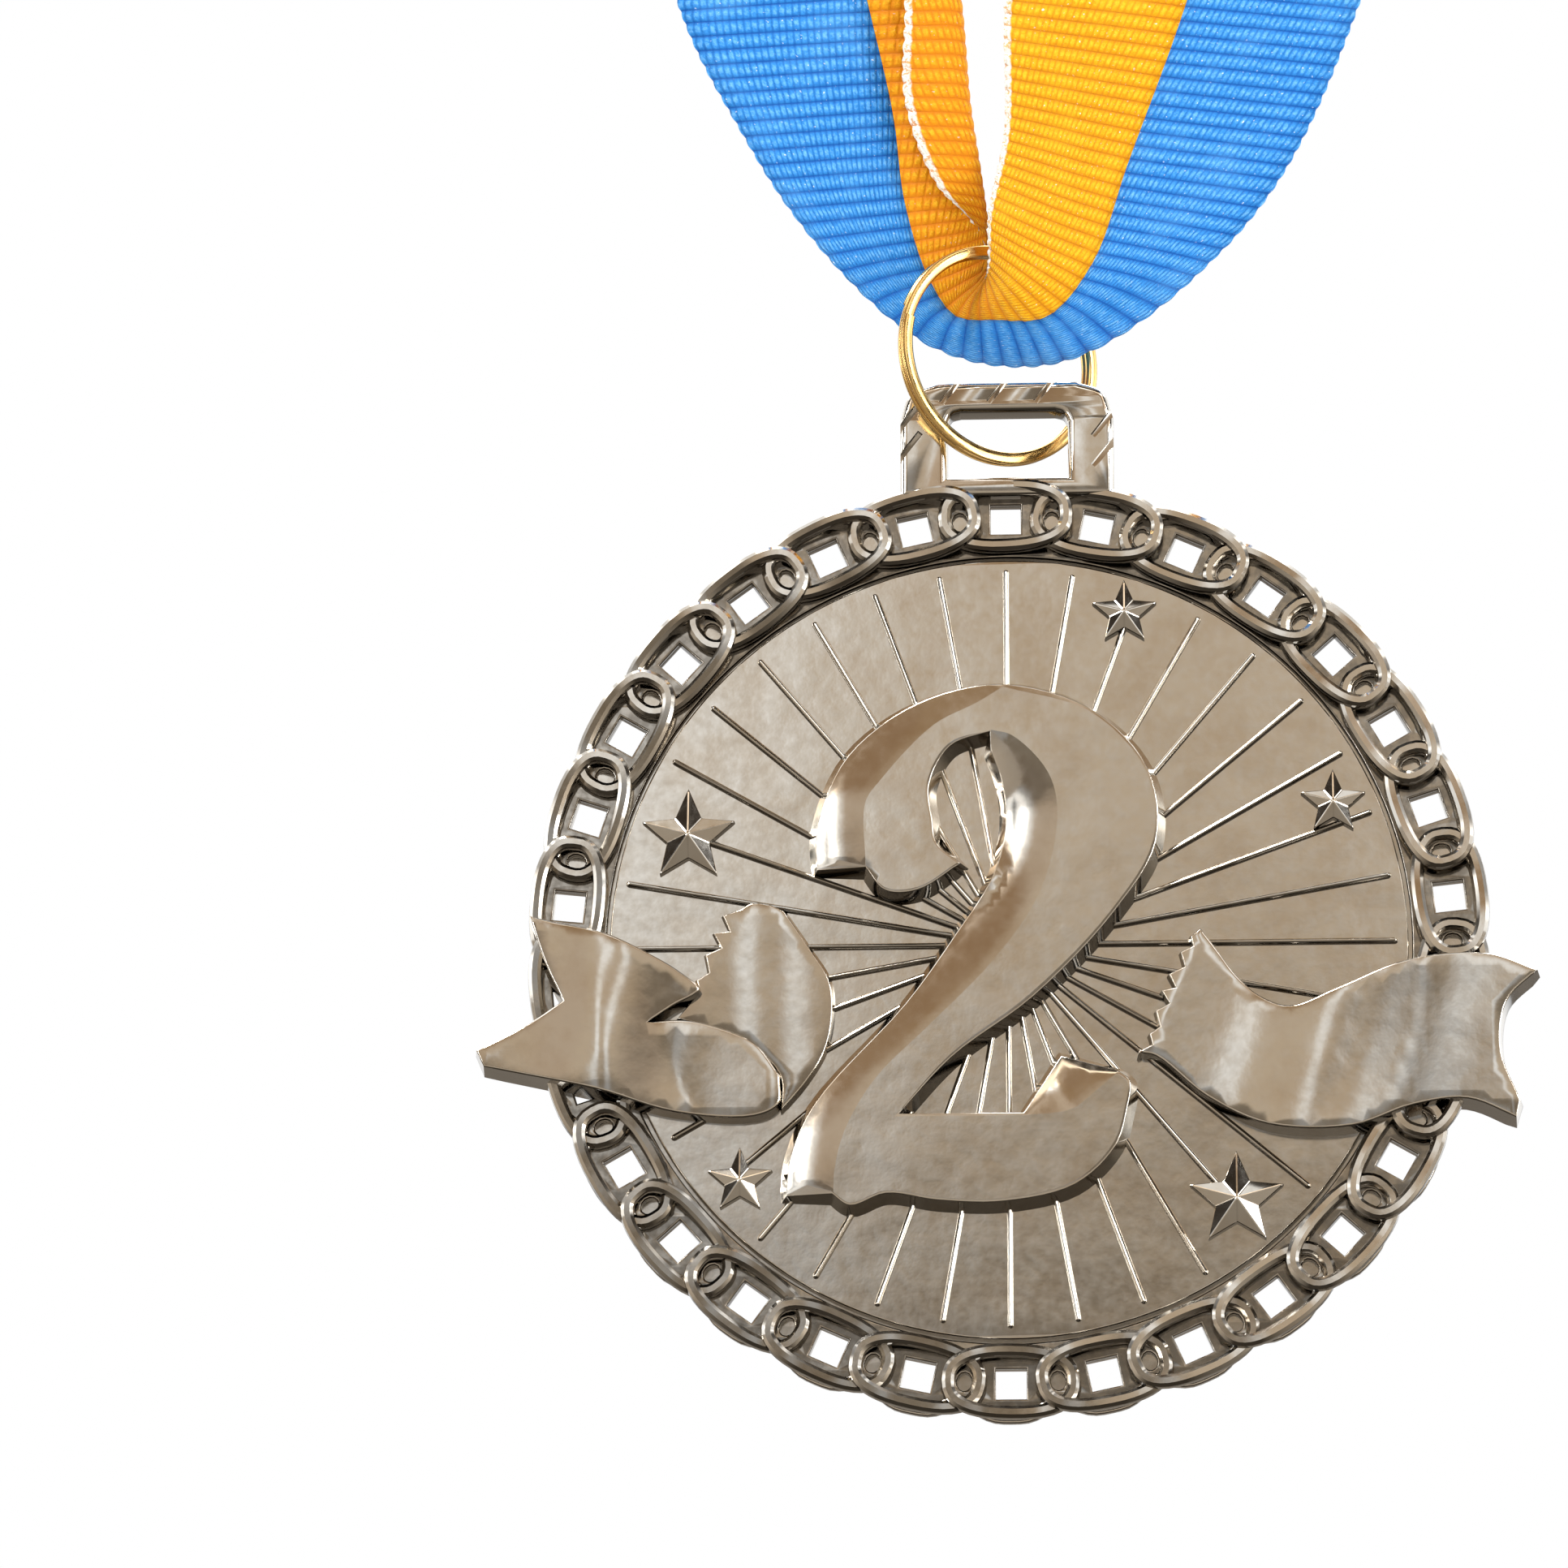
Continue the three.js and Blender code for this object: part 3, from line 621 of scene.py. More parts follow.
def relief_points(flat, slides, height, soft, draft, base_depth):
    """The front, the rings of its rounded edge, and the foot of its wall, each as one layer of points."""
    vertices = []
    for out, drop in EDGE_RINGS:
        for i, p in enumerate(flat):
            moved = p + slides[i] * out * soft if i in slides else p
            vertices.append(at(moved.x, height(p.x, p.y) - drop * soft, moved.y))
    for i, p in enumerate(flat):
        foot = p + slides[i] * (soft + draft) if i in slides else p
        vertices.append(at(foot.x, base_depth, foot.y))
    return vertices


def sharpen_creases(obj, flat, creases):
    """Marks the front's edges that lie on a crease as sharp."""
    for edge in obj.data.edges:
        a, b = edge.vertices
        if max(a, b) < len(flat):
            middle = (flat[a] + flat[b]) / 2
            edge.use_edge_sharp = min(nearest(middle, crease) for crease in creases) < 0.01


def relief(name, outer, height, base_depth, grid_mm, soft, draft, creases=()):
    """A solid on the medal: a front of height(x, z), an edge rounded by soft, a wall sloping by draft."""
    rim = [Vector(p) for p in counterclockwise(outer)]
    slides = outward_slides(rim, [(i, (i + 1) % len(rim)) for i in range(len(rim))])
    inset = [tuple(p - slides[i] * soft) for i, p in enumerate(rim)]
    flat, faces = triangulated(inset, creases, grid_mm)
    border = directed_border(faces)
    vertices = relief_points(flat, outward_slides(flat, border), height, soft, draft, base_depth)
    layers, count = len(EDGE_RINGS), len(flat)
    solid = list(faces)
    solid += [[i + layers * count for i in reversed(f)] for f in faces]
    for k in range(layers):
        solid += [[b + k * count, a + k * count, a + (k + 1) * count, b + (k + 1) * count] for a, b in border]
    made = add_mesh(name, vertices, solid, NICKEL)
    if creases:
        sharpen_creases(made, flat, creases)
    return edit_mesh(made, drop_loose_points, face_outward)


def circle(radius, count=180):
    return [(radius * math.cos(2 * math.pi * i / count), radius * math.sin(2 * math.pi * i / count))
            for i in range(count)]


def on_chain(points, step):
    angle = math.pi / 2 - 2 * math.pi * step / LINKS
    c, s = math.cos(angle), math.sin(angle)
    return [((LINK_RADIUS + z) * c + x * s, (LINK_RADIUS + z) * s - x * c) for x, z in points]


def ray(index):
    """A thin raised rib with a round top and a round end."""
    angle = 2 * math.pi * index / RAYS
    c, s = math.cos(angle), math.sin(angle)
    end = RAY_END
    for x, z, radius in STARS.values():
        along = x * c + z * s
        aside = abs(-x * s + z * c)
        if along > 0 and aside < radius * 0.5:
            end = min(end, along)
    half, tall, sides = 0.23, 0.36, 6
    stations = [(0.3, 1.0), (end - half, 1.0)]
    stations += [(end - half + half * math.sin(t), math.cos(t)) for t in (0.5, 0.95, 1.3, 1.5)]
    vertices = []
    for along, size in stations:
        for k in range(sides + 1):
            t = math.pi * k / sides
            across = half * size * math.cos(t)
            depth = FEATURE_FOOT + (SINK + tall * size) * math.sin(t) ** 0.8
            vertices.append(at(along * c - across * s, depth, along * s + across * c))
    return outward(add_mesh("ray", vertices, tube_faces(len(stations), sides + 1), NICKEL))


def link(index):
    """One oval link lying on the border: its leading end rides over the next link's trailing end."""
    steps, sides = 40, 10
    long, wide = 4.15, 2.1
    half_width, half_height = 0.48, 0.6
    vertices = []
    for i in range(steps):
        t = 2 * math.pi * i / steps
        # Straight long sides and round ends.
        x = long * fuller(math.cos(t), 0.85)
        z = wide * fuller(math.sin(t), 0.75)
        nx, nz = math.cos(t) / long, math.sin(t) / wide
        size = math.hypot(nx, nz)
        nx, nz = nx / size, nz / size
        rise = 0.3 * math.tanh(1.8 * x / long)
        for k in range(sides):
            a = 2 * math.pi * k / sides
            out = half_width * fuller(math.cos(a), 0.8)
            up = half_height * fuller(math.sin(a), 0.8)
            px, pz = on_chain([(x + nx * out, z + nz * out)], index)[0]
            vertices.append(at(px, CHAIN_TOP - half_height + rise + up, pz))
    return outward(add_mesh("link", vertices, tube_faces(steps, sides, closed=True), NICKEL))


STEPS_PER_LINK = 12
BORDER_HOLE = 27.05


def border_edge(grow=0.0):
    """The border's outer edge bulges a little round each link."""
    loop = []
    for i in range(LINKS * STEPS_PER_LINK):
        phase = 2 * math.pi * i / STEPS_PER_LINK
        radius = RIM_RADIUS - 0.55 + grow + 0.4 * math.cos(phase) - 0.1 * math.cos(2 * phase)
        angle = math.pi / 2 - 2 * math.pi * i / (LINKS * STEPS_PER_LINK)
        loop.append((radius * math.cos(angle), radius * math.sin(angle)))
    return loop


def chain_border():
    """Two plates pierced by a square hole in each link, a lip round them, and the links on top."""
    half = 1.02
    square = [(-half, -half), (half, -half), (half, half), (-half, half)]
    eye = [(0.5 * math.cos(2 * math.pi * k / 12), 0.62 * math.sin(2 * math.pi * k / 12)) for k in range(12)]
    holes = [on_chain(square, i) for i in range(LINKS)]
    eyes = [on_chain(eye, i + 0.5) for i in range(LINKS)]
    inner = circle(BORDER_HOLE)
    lower = plate("border_lower", [border_edge(0.15), inner, *holes], 0, 0.8, 0.12)
    upper = plate("border_upper", [border_edge(), inner, *holes, *eyes], 0.7, CHAIN_PLATE, 0.15)
    lip = plate("border_lip", [border_edge(0.05), border_edge(-0.55)], 0.7, 2.3, 0.2)
    return [lower, upper, lip] + [link(i) for i in range(LINKS)]


def star(x, z, radius):
    """A five-pointed star on a low wall, faceted up to a point in its middle."""
    corners, notch, wall, rise = 10, 0.46, 0.45, 0.27
    rim = []
    for i in range(corners):
        r = radius * notch if i % 2 else radius
        a = math.pi / 2 + i * math.pi / 5
        rim.append((x + r * math.cos(a), z + r * math.sin(a)))
    vertices = [at(px, FEATURE_FOOT, pz) for px, pz in rim]
    vertices += [at(px, FIELD + wall, pz) for px, pz in rim]
    vertices.append(at(x, FIELD + 0.4 + rise * radius, z))
    faces = [list(range(corners))]
    for i in range(corners):
        j = (i + 1) % corners
        faces.append([i, j, j + corners, i + corners])
        faces.append([i + corners, j + corners, 2 * corners])
    return rounded(outward(add_mesh("star", vertices, faces, NICKEL, smooth=False)), 0.06, 2, 12)


def numeral_height(x, z):
    """Flat on the numeral's face, and sloping down from it to the numeral's edge."""
    if inside((x, z), NUMERAL_FLAT) or nearest((x, z), NUMERAL_FLAT) < 0.02:
        return NUMERAL_FACE
    away = nearest((x, z), NUMERAL_FLAT)
    return max(NUMERAL_EDGE, NUMERAL_FACE - 0.1 * away - 0.045 * away ** 2)


def banner_height(crest_x, width):
    """One soft crest across the banner, and a lift that carries it over the border."""
    def height(x, z):
        crest = 0.55 * math.exp(-((x - 0.3 * z - crest_x) / width) ** 2)
        lift = 0.35 * min(max((math.hypot(x, z) - 24) / 4, 0), 1)
        return BANNER - 0.2 + crest + lift
    return height


def fold_height(x, z):
    """The banner's folded-back part: lower than its front, and rolling back towards its right side."""
    return BANNER - 0.75 - 0.012 * (x + 17) ** 2


# Where slanted notches are cut across the hanger's front, in mm, and the block that cuts each.
NOTCHES = ((-3.3, 38.9), (-0.1, 38.9), (3.1, 38.9), (-6.7, 34.3), (-6.7, 36.4), (7, 34.3), (7, 36.4))
NOTCH_SIZE = (0.42, 3.0, 3.2)
NOTCH_DEPTH = 3.75
NOTCH_TURN = math.radians(38)


def notch_cutter():
    cutters = []
    for x, z in NOTCHES:
        bpy.ops.mesh.primitive_cube_add(size=1)
        cutter = bpy.context.view_layer.objects.active
        cutter.scale = tuple(s * MM for s in NOTCH_SIZE)
        cutter.rotation_euler = (0, NOTCH_TURN, 0)
        cutter.location = at(x, NOTCH_DEPTH, z)
        bpy.ops.object.transform_apply(location=True, rotation=True, scale=True)
        cutters.append(cutter)
    return join("notches", cutters)


def hanger():
    """The frame above the disc that the split ring passes through."""
    outer = outline([
        [(-7.1, 31), (-7.1, 36.5)],
        [(-7.1, 36.5), (-6.4, 38.4), (-4.6, 39.1)],
        [(-4.6, 39.1), (4.9, 39.1)],
        [(4.9, 39.1), (6.7, 38.4), (7.4, 36.5)],
        [(7.4, 36.5), (7.4, 31)],
        [(7.4, 31), (-7.1, 31)],
    ])
    hole = outline([
        [(-3.9, 32.4), (-3.9, 36.2)],
        [(-3.9, 36.2), (-3.6, 36.8), (-3, 37)],
        [(-3, 37), (3.4, 37)],
        [(3.4, 37), (4, 36.8), (4.3, 36.2)],
        [(4.3, 36.2), (4.3, 32.4)],
        [(4.3, 32.4), (-3.9, 32.4)],
    ])
    body = plate("hanger", [outer, hole], 0.3, 2.8, 0.5)
    cut = notch_cutter()
    modifier = body.modifiers.new("notches", "BOOLEAN")
    modifier.operation = "DIFFERENCE"
    modifier.object = cut
    modifier.solver = "EXACT"
    apply_modifiers(body)
    bpy.data.objects.remove(cut)
    return rounded(body, 0.1, 2, 40)


def casting():
    """The whole medal, one casting, stands for the CAD nodes of its features."""
    field = plate("field", [circle(DISC_RADIUS)], 0, FIELD, 0.12)
    web = plate("web", [circle(DISC_RADIUS + 0.6)], 0.2, 0.9, 0.1)
    rays = join("rays", [ray(i) for i in range(RAYS)])
    border = join("border", chain_border())
    numeral = relief("numeral", NUMERAL, numeral_height, FEATURE_FOOT, grid_mm=0.45, soft=0.1, draft=0.5,
                     creases=[NUMERAL_FLAT])
    left = relief("banner_l", LEFT_BANNER, banner_height(-25, 4), BANNER_FOOT, grid_mm=0.6, soft=0.16,
                  draft=0.25)
    fold = relief("banner_f", LEFT_FOLD, fold_height, FEATURE_FOOT, grid_mm=0.6, soft=0.12, draft=0.2)
    right = relief("banner_r", RIGHT_BANNER, banner_height(24, 4.5), BANNER_FOOT, grid_mm=0.6, soft=0.16,
                   draft=0.25)
    eye = hanger()
    body = join("medal_casting", [field, web, rays, border, numeral, left, fold, right, eye])
    sharp_shading(body, 38)
    stars = join("medal_stars", [star(*shape) for shape in STARS.values()])
    return body, stars


# ---- split ring ---------------------------------------------------------------------------------
def split_ring():
    """Two touching coils of one wire; each end lies flat and the wire crosses over between them."""
    low, high = (Vector(corner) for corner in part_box("split_ring"))
    centre = (low + high) / 2
    radius, band, thick, pitch = 7.3, 0.85, 0.45, 0.5
    turn = math.radians(32)
    start, gap = 2.9, 0.12
    steps, sides = 360, 12
    vertices = []
    for i in range(steps + 1):
        f = i / steps
        angle = start + f * (4 * math.pi - gap)
        # The wire moves over from one coil to the other near the middle of its length.
        s = min(max((f - 0.42) / 0.16, 0), 1)
        shift = (s * s * (3 - 2 * s) - 0.5) * pitch
        for k in range(sides):
            a = 2 * math.pi * k / sides
            radial = radius + band / 2 * fuller(math.cos(a), 0.6)
            axial = shift + thick / 2 * fuller(math.sin(a), 0.6)
            x, z = radial * math.cos(angle), radial * math.sin(angle)
            vertices.append(centre + MM * Vector((x * math.cos(turn) - axial * math.sin(turn),
                                                  x * math.sin(turn) + axial * math.cos(turn), z)))
    wire = add_mesh("split_ring_wire", vertices, tube_faces(steps + 1, sides), BRASS)
    return sharp_shading(outward(wire), 50)


# ---- ribbon ---------------------------------------------------------------------------------------
def neck(x, y, z, ax, ay, az):
    """Five points across the flat ribbon: blue selvedge, colour line, two in the yellow, its selvedge."""
    size = math.sqrt(ax * ax + ay * ay + az * az)
    return [(x + ax / size * t, y + ay / size * t, z + az / size * t) for t in (-12, 0, 4, 8, 12)]


LEFT_RUN = [
    neck(10, 119.5, 308, 0, 0, 1),
    neck(-10, 119.2, 308, 0, 0, 1),
    neck(-34, 109, 307, -0.05, 0.05, 1),
    neck(-57, 82, 304, 0.1, 0.1, 1),
    neck(-67, 45, 296, 0.4, 0.1, 0.9),
    neck(-65, 13, 274, 0.75, 0.1, 0.62),
    neck(-57, 1.5, 244, 0.95, 0, 0.28),
    neck(-44, 0.6, 198, 0.965, 0, 0.26),
    neck(-30, 0.6, 145, 0.965, 0, 0.26),
    [(-27.5, 0.8, 87), (-15, 0.8, 92), (-9.5, 0.8, 94), (-6.3, -0.4, 95), (-8.5, -1.2, 94)],
]
RING_RUN = [
    [(-21.9, 0.9, 66), (-9.2, 0.9, 66.6), (-3.6, 0.9, 67), (-3.1, -0.7, 67), (-6.6, -0.9, 67)],
    [(-18.2, 0.9, 58.4), (-7.6, 0.9, 59), (-2.9, 0.9, 59.2), (-2.5, -0.7, 59.2), (-6.6, -0.9, 59.4)],
    [(-14.4, 0.9, 52), (-6.8, 0.9, 52.6), (-2.4, 0.9, 53), (-1.5, 0.1, 53.2), (-4.4, -0.6, 53.4)],
    [(-9.4, 1, 46), (-5.2, 1, 47.2), (-2.6, 1.1, 48.2), (-1.2, 1.4, 49.2), (-1.5, 1.0, 50.4)],
    [(-4.6, 1.2, 42.4), (-3.4, 0.9, 44.4), (-2.6, 0.8, 45.4), (-1.8, 0.9, 46.3), (-1.2, 1.2, 47.2)],
    [(0.3, 1.2, 41.1), (-0.4, -0.9, 43.6), (-0.8, -1.3, 44.7), (-1.0, -0.9, 45.9), (-1.0, -0.1, 46.9)],
    [(5, 0.4, 41.5), (3.0, -1.9, 43.5), (1.4, -2.6, 44.9), (0.2, -2.5, 46.2), (-0.8, -1.9, 47.5)],
    [(12, -1, 45.6), (6, -2, 47.0), (3.4, -2.5, 48.0), (1.0, -2.6, 49.2), (-0.9, -2.4, 50.4)],
    [(18.6, -1, 53), (8.6, -1, 54.6), (5.6, -1, 55.4), (3, -1, 56.2), (0.2, -1, 57)],
    [(24.5, -0.9, 66), (13.1, -0.9, 67.4), (8.9, -0.9, 68), (4.7, -0.9, 68.5), (0.5, -0.9, 69)],
]
RIGHT_RUN = [
    [(30, -0.8, 86), (19, -0.8, 90), (14.6, -0.8, 91.5), (10.5, -0.8, 93), (6.5, -0.8, 94.5)],
    neck(33, -0.6, 145, -0.965, 0, 0.26),
    neck(45, -0.6, 198, -0.965, 0, 0.26),
    neck(57, 1.5, 244, -0.95, 0, 0.28),
    neck(65, 13, 274, -0.75, 0.1, 0.62),
    neck(67, 45, 296, -0.4, 0.1, 0.9),
    neck(57, 82, 304, -0.1, 0.1, 1),
    neck(34, 109.5, 307, 0.05, 0.05, 1),
    neck(10, 120.4, 308, 0, 0, 1),
    neck(-10, 120.5, 308, 0, 0, 1),
]
RIBBON_THICK = 0.42
RIB_RELIEF = 0.08
ROWS_PER_RIB = 6
SELVEDGE_BULGE = 0.14
# Where the ring gathers the cloth, in mm above the medal's centre and to each side of it.
GATHER_HEIGHT, GATHER_SPREAD, GATHER_HALF = 42, 5, 16


def ribbon_rows():
    """Points across the ribbon at even steps along it: rows by five columns, in mm."""
    stations = np.array(LEFT_RUN + RING_RUN + RIGHT_RUN, float)
    dense = np.stack([spline(stations[:, j], 6000) for j in range(stations.shape[1])], axis=1)
    middle = dense[:, 1]
    travel = np.concatenate([[0], np.cumsum(np.linalg.norm(np.diff(middle, axis=0), axis=1))])
    count = int(travel[-1] / RIB_PITCH) * ROWS_PER_RIB
    even = np.linspace(0, travel[-1], count + 1)
    rows = np.stack([[np.interp(even, travel, dense[:, j, k]) for k in range(3)]
                     for j in range(dense.shape[1])]).transpose(2, 0, 1)
    return rows, even


def unit(vectors):
    return vectors / np.maximum(np.linalg.norm(vectors, axis=2, keepdims=True), 1e-9)


def gather(fine, depth_mm):
    """Rounds the cloth out, by up to depth_mm, where the ring gathers it."""
    near = np.exp(-((fine[:, :, 2] - GATHER_HEIGHT) / GATHER_SPREAD) ** 2)
    near = near * (np.abs(fine[:, :, 0]) < GATHER_HALF)
    fine[:, :, 1] -= depth_mm * near * np.sin(np.linspace(0, math.pi, fine.shape[1]))


def lay_uvs(obj, across, along):
    """UVs in mm: across holds one value for each point round the cloth, along one for each row of them."""
    layer = obj.data.uv_layers.new(name="cloth_mm")
    corner = np.empty(len(obj.data.loops), dtype=np.int32)
    obj.data.loops.foreach_get("vertex_index", corner)
    uv = np.stack([across[corner % len(across)], along[corner // len(across)]], axis=1)
    layer.data.foreach_set("uv", uv.astype(np.float32).ravel())


def stripe(name, knots, widths, columns, edge_at, material, gather_mm):
    """One woven stripe: its columns run through the knots, and widths are their mm across the cloth."""
    rows, along = ribbon_rows()
    rows = rows[:, knots]
    fine = np.array([spline(row, columns) if len(knots) > 2 else
                     row[0] + (row[1] - row[0]) * np.linspace(0, 1, columns)[:, None] for row in rows])
    gather(fine, gather_mm)
    tangent = np.gradient(fine, axis=0)
    cross = np.gradient(fine, axis=1)
    normal = unit(np.cross(tangent, cross))
    cross = unit(cross)
    rib = np.abs(np.sin(math.pi * along / RIB_PITCH))
    # The selvedge bulges a little at each rib.
    bulge = SELVEDGE_BULGE if edge_at == -1 else -SELVEDGE_BULGE
    fine[:, edge_at] += cross[:, edge_at] * (bulge * rib)[:, None]
    half = RIBBON_THICK / 2 + RIB_RELIEF * (rib - 0.5)[:, None, None]
    loop = np.concatenate([fine + normal * half, (fine - normal * half)[:, ::-1]], axis=1)
    points = loop.reshape(-1, 3) * MM + np.array([CENTRE.x, MID_PLANE, CENTRE.z])
    total, n = loop.shape[:2]
    faces = [[i * n + k, (i + 1) * n + k, (i + 1) * n + (k + 1) % n, i * n + (k + 1) % n]
             for i in range(total - 1) for k in range(n)]
    faces.append(list(range(n)))
    faces.append([(total - 1) * n + k for k in reversed(range(n))])
    obj = outward(add_mesh(name, points, faces, material))
    across = np.linspace(widths[0], widths[1], columns)
    ring_at = round(along[rows[:, 0, 2].argmin()] / RIB_PITCH) * RIB_PITCH
    lay_uvs(obj, np.concatenate([across, across[::-1]]), along - ring_at)
    return obj


def seam():
    """A zigzag of thread that sinks into the lap at each stitch."""
    curve = bpy.data.curves.new("seam_zigzag", "CURVE")
    curve.dimensions = "3D"
    curve.bevel_depth = 0.17 * MM
    curve.bevel_resolution = 3
    line = curve.splines.new("POLY")
    stitches, per = 13, 8
    left, width, lowest, tall = -6.3, 2.2, 298, 20
    lap, arch = 120.78, 0.3
    line.points.add(stitches * per)
    for i in range(stitches * per + 1):
        f = i / per
        k = int(min(f, stitches - 1e-6))
        g = f - k
        side = g if k % 2 == 0 else 1 - g
        x = left - width * side
        y = lap + arch * math.sin(math.pi * g) ** 0.6
        z = lowest + tall * f / stitches
        line.points[i].co = (CENTRE.x + x * MM, MID_PLANE + y * MM, CENTRE.z + z * MM, 1)
    obj = bpy.data.objects.new("seam_zigzag", curve)
    bpy.context.scene.collection.objects.link(obj)
    return as_mesh(obj, THREAD)


# ---- stage --------------------------------------------------------------------------------------
# Area lights: offset from the medal's centre in m, size in m, power in W.
LIGHTS = {
    "key": ((-0.4, -0.35, 1.0), (0.3, 0.3), 8),
    "left_strip": ((-0.75, -0.62, 0.1), (0.05, 0.9), 2.4),
    "right_strip": ((0.8, -0.55, 0.1), (0.05, 0.9), 2.4),
    "fill": ((0.9, -0.4, 0.1), (0.25, 0.6), 2.4),
    "overhead": ((0, 0.9, 1.6), (1.6, 1.6), 26),
}
FLOOR_DROP = 0.26


def area_light(name, offset, size, power):
    """A white rectangular light that points at the medal's centre."""
    light = bpy.data.lights.new(name, "AREA")
    light.shape = "RECTANGLE"
    light.size, light.size_y = size
    light.energy = power
    obj = bpy.data.objects.new(name, light)
    bpy.context.scene.collection.objects.link(obj)
    location = CENTRE + Vector(offset)
    obj.location = location
    obj.rotation_euler = (CENTRE - location).to_track_quat("-Z", "Y").to_euler()


def ramp(tree, value, stops):
    """Colours along a value, from (position, colour) stops."""
    node = tree.nodes.new("ShaderNodeValToRGB")
    elements = node.color_ramp.elements
    for element, (position, colour) in zip(elements, (stops[0], stops[-1])):
        element.position = position
        element.color = (*colour, 1)
    for position, colour in stops[1:-1]:
        elements.new(position).color = (*colour, 1)
    tree.links.new(value, node.inputs[0])
    return node.outputs[0]


def blend(tree, kind, factor, a, b):
    """Mixes two colours, each given as a value or an output, by a number or an output."""
    node = tree.nodes.new("ShaderNodeMix")
    node.data_type = "RGBA"
    node.blend_type = kind
    for socket, value in ((node.inputs[0], factor), (node.inputs[6], a), (node.inputs[7], b)):
        if isinstance(value, (int, float, tuple)):
            socket.default_value = value
        else:
            tree.links.new(value, socket)
    return node.outputs[2]


SKY_WHITE = (1, 1, 1)
SKY_BLACK = (0, 0, 0)
HALF_LIT = (0.74, 0.74, 0.74)
GLINT_STRENGTH = 3.4
LOW_GREY = (0.36, 0.36, 0.36)
SCREEN_TAN = (0.52, 0.42, 0.32)
SCREEN_DARK = (0.05, 0.045, 0.04)
CARD = (0.56, 0.46, 0.345)
CEILING_BROWN = (0.62, 0.5, 0.38)


PLAIN_WHITE = (1, 1, 1, 1)
PLAIN_BLACK = (0, 0, 0, 1)


def sky(tree):
    """White all round, with screens, a card and a dim ceiling in front for polished metal to mirror."""
    place = tree.nodes.new("ShaderNodeTexCoord")
    split = tree.nodes.new("ShaderNodeSeparateXYZ")
    tree.links.new(place.outputs["Generated"], split.inputs[0])
    side = tree.nodes.new("ShaderNodeMath")
    side.operation = "ABSOLUTE"
    tree.links.new(split.outputs[0], side.inputs[0])
    screens = ramp(tree, side.outputs[0], (
        (0.0, CARD), (0.04, CARD), (0.056, SKY_WHITE), (0.1, SKY_WHITE), (0.13, CARD), (0.22, CARD),
        (0.28, SCREEN_TAN), (0.44, SCREEN_TAN), (0.5, SKY_WHITE), (0.62, SKY_WHITE), (0.67, SCREEN_DARK),
        (0.9, SCREEN_DARK), (1.0, SKY_WHITE)))
    ceiling = ramp(tree, split.outputs[2], (
        (0.0, LOW_GREY), (0.175, LOW_GREY), (0.2, HALF_LIT), (0.235, SKY_WHITE), (0.34, SKY_WHITE),
        (0.42, CEILING_BROWN), (0.6, CEILING_BROWN), (0.66, SKY_WHITE), (0.72, SKY_WHITE),
        (0.76, SCREEN_DARK), (0.88, SCREEN_DARK), (0.94, SKY_WHITE)))
    glints = tree.nodes.new("ShaderNodeMapRange")
    glints.inputs["To Max"].default_value = GLINT_STRENGTH
    glints.inputs["To Min"].default_value = 1.0
    strips = ramp(tree, side.outputs[0], (
        (0.51, SKY_BLACK), (0.55, SKY_WHITE), (0.59, SKY_WHITE), (0.63, SKY_BLACK), (0.9, SKY_BLACK),
        (0.96, SKY_WHITE)))
    high = ramp(tree, split.outputs[2], (
        (0.63, SKY_BLACK), (0.66, SKY_WHITE), (0.7, SKY_WHITE), (0.74, SKY_BLACK)))
    front = tree.nodes.new("ShaderNodeMapRange")
    front.inputs["From Min"].default_value = 0.1
    front.inputs["From Max"].default_value = -0.15
    tree.links.new(split.outputs[1], front.inputs["Value"])
    room = blend(tree, "MULTIPLY", 1.0, screens, ceiling)
    around = blend(tree, "MIX", front.outputs["Result"], PLAIN_WHITE, room)
    # Only mirrors see the screens: the cloth, the floor and the backdrop get plain white light.
    mirrored = tree.nodes.new("ShaderNodeLightPath").outputs["Is Glossy Ray"]
    background = tree.nodes["Background"]
    tree.links.new(blend(tree, "MIX", mirrored, PLAIN_WHITE, around), background.inputs["Color"])
    bright = blend(tree, "LIGHTEN", 1.0, strips, high)
    tree.links.new(blend(tree, "MIX", mirrored, PLAIN_BLACK, bright), glints.inputs["Value"])
    tree.links.new(glints.outputs["Result"], background.inputs["Strength"])


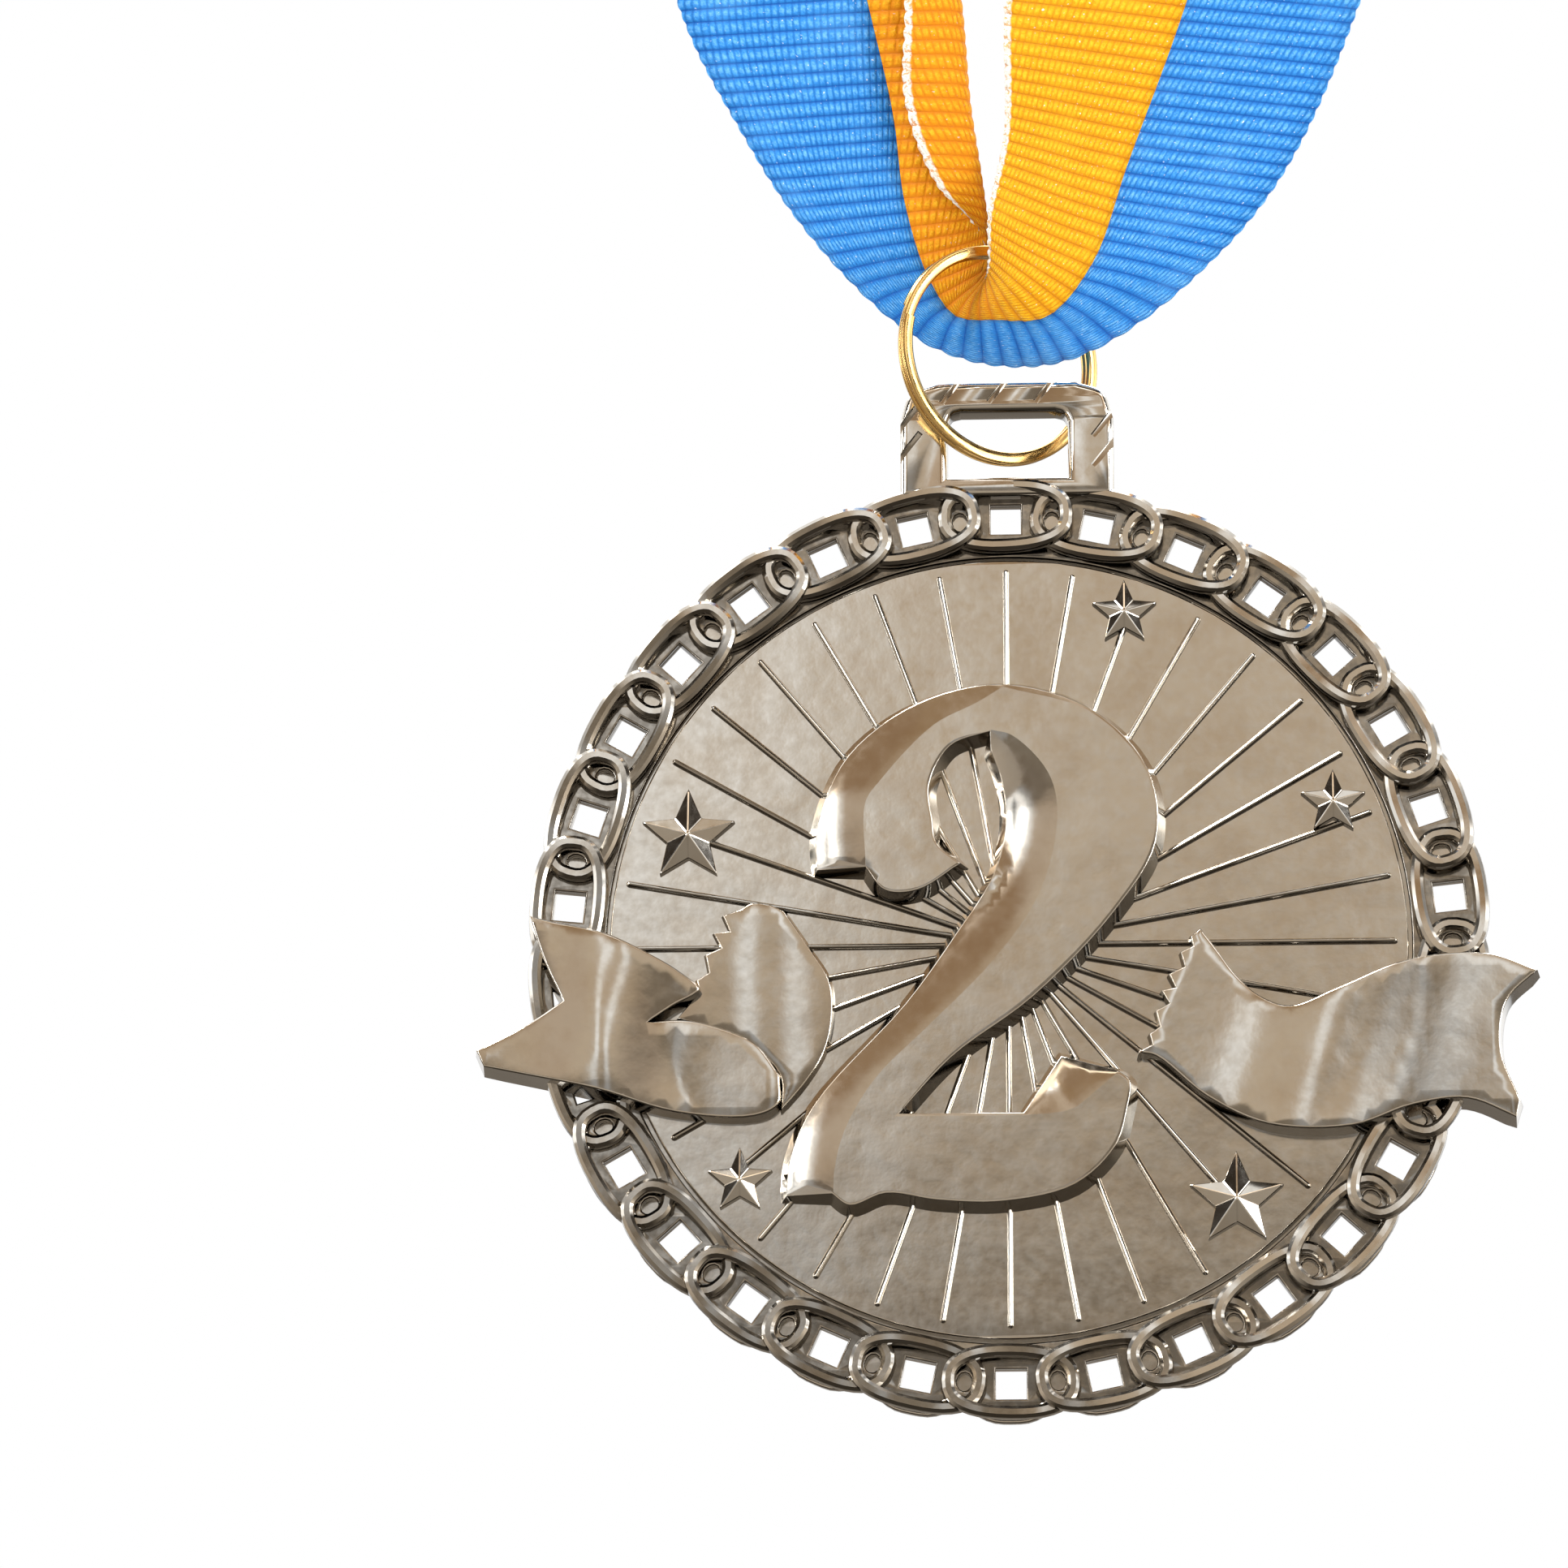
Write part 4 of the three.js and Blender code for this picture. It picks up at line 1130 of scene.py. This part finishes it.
def stage():
    """The floor, the sky and the lights."""
    floor_z = CENTRE.z - FLOOR_DROP
    bpy.ops.mesh.primitive_plane_add(size=24, location=(CENTRE.x, CENTRE.y + 1.0, floor_z))
    floor = bpy.context.view_layer.objects.active
    floor.name = "floor"
    floor.data.materials.append(PAPER)
    world = bpy.data.worlds.new("studio")
    world.use_nodes = True
    sky(world.node_tree)
    bpy.context.scene.world = world
    for name, (offset, size, power) in LIGHTS.items():
        area_light(name, offset, size, power)


def camera():
    """A long lens, below the medal's normal and slightly to its right."""
    aim = CENTRE + Vector((-15.1 * MM, 0, 11.5 * MM))
    azimuth, elevation, distance = math.radians(3), math.radians(-14), 0.574
    offset = Vector((math.sin(azimuth) * math.cos(elevation), -math.cos(azimuth) * math.cos(elevation),
                     math.sin(elevation)))
    data = bpy.data.cameras.new("camera")
    data.lens = 195
    data.sensor_width = 36
    data.clip_start = 0.01
    obj = bpy.data.objects.new("camera", data)
    bpy.context.scene.collection.objects.link(obj)
    obj.location = aim + offset * distance
    obj.rotation_euler = (-offset).to_track_quat("-Z", "Y").to_euler()
    bpy.context.scene.camera = obj


# ---- put together ---------------------------------------------------------------------------------
body, stars = casting()
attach(body, "medal")
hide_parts("medal_disc", "chain_border", "hanger_loop", "numeral_two", "banner_left",
            "banner_left_fold", "banner_right")
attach(stars, "medal")
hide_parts(*STARS)

wire = split_ring()
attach(wire, "ring")
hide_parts("split_ring")

blue_stripe = stripe("ribbon_blue_cloth", [0, 1], (-12, 0), 8, 0, BLUE, 0.9)
yellow_stripe = stripe("ribbon_yellow_cloth", [1, 2, 3, 4], (0, 12), 13, -1, YELLOW, 0.2)
for cloth_piece, node, slot in ((blue_stripe, "ribbon_blue", "ribbon_blue"),
                                (yellow_stripe, "ribbon_yellow", "ribbon_yellow")):
    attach(cloth_piece, "ribbon")
    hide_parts(node)

zigzag = seam()
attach(zigzag, "ribbon")
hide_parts("seam_thread")

stage()
camera()
bpy.context.scene.view_settings.view_transform = "Standard"
bpy.context.view_layer.update()
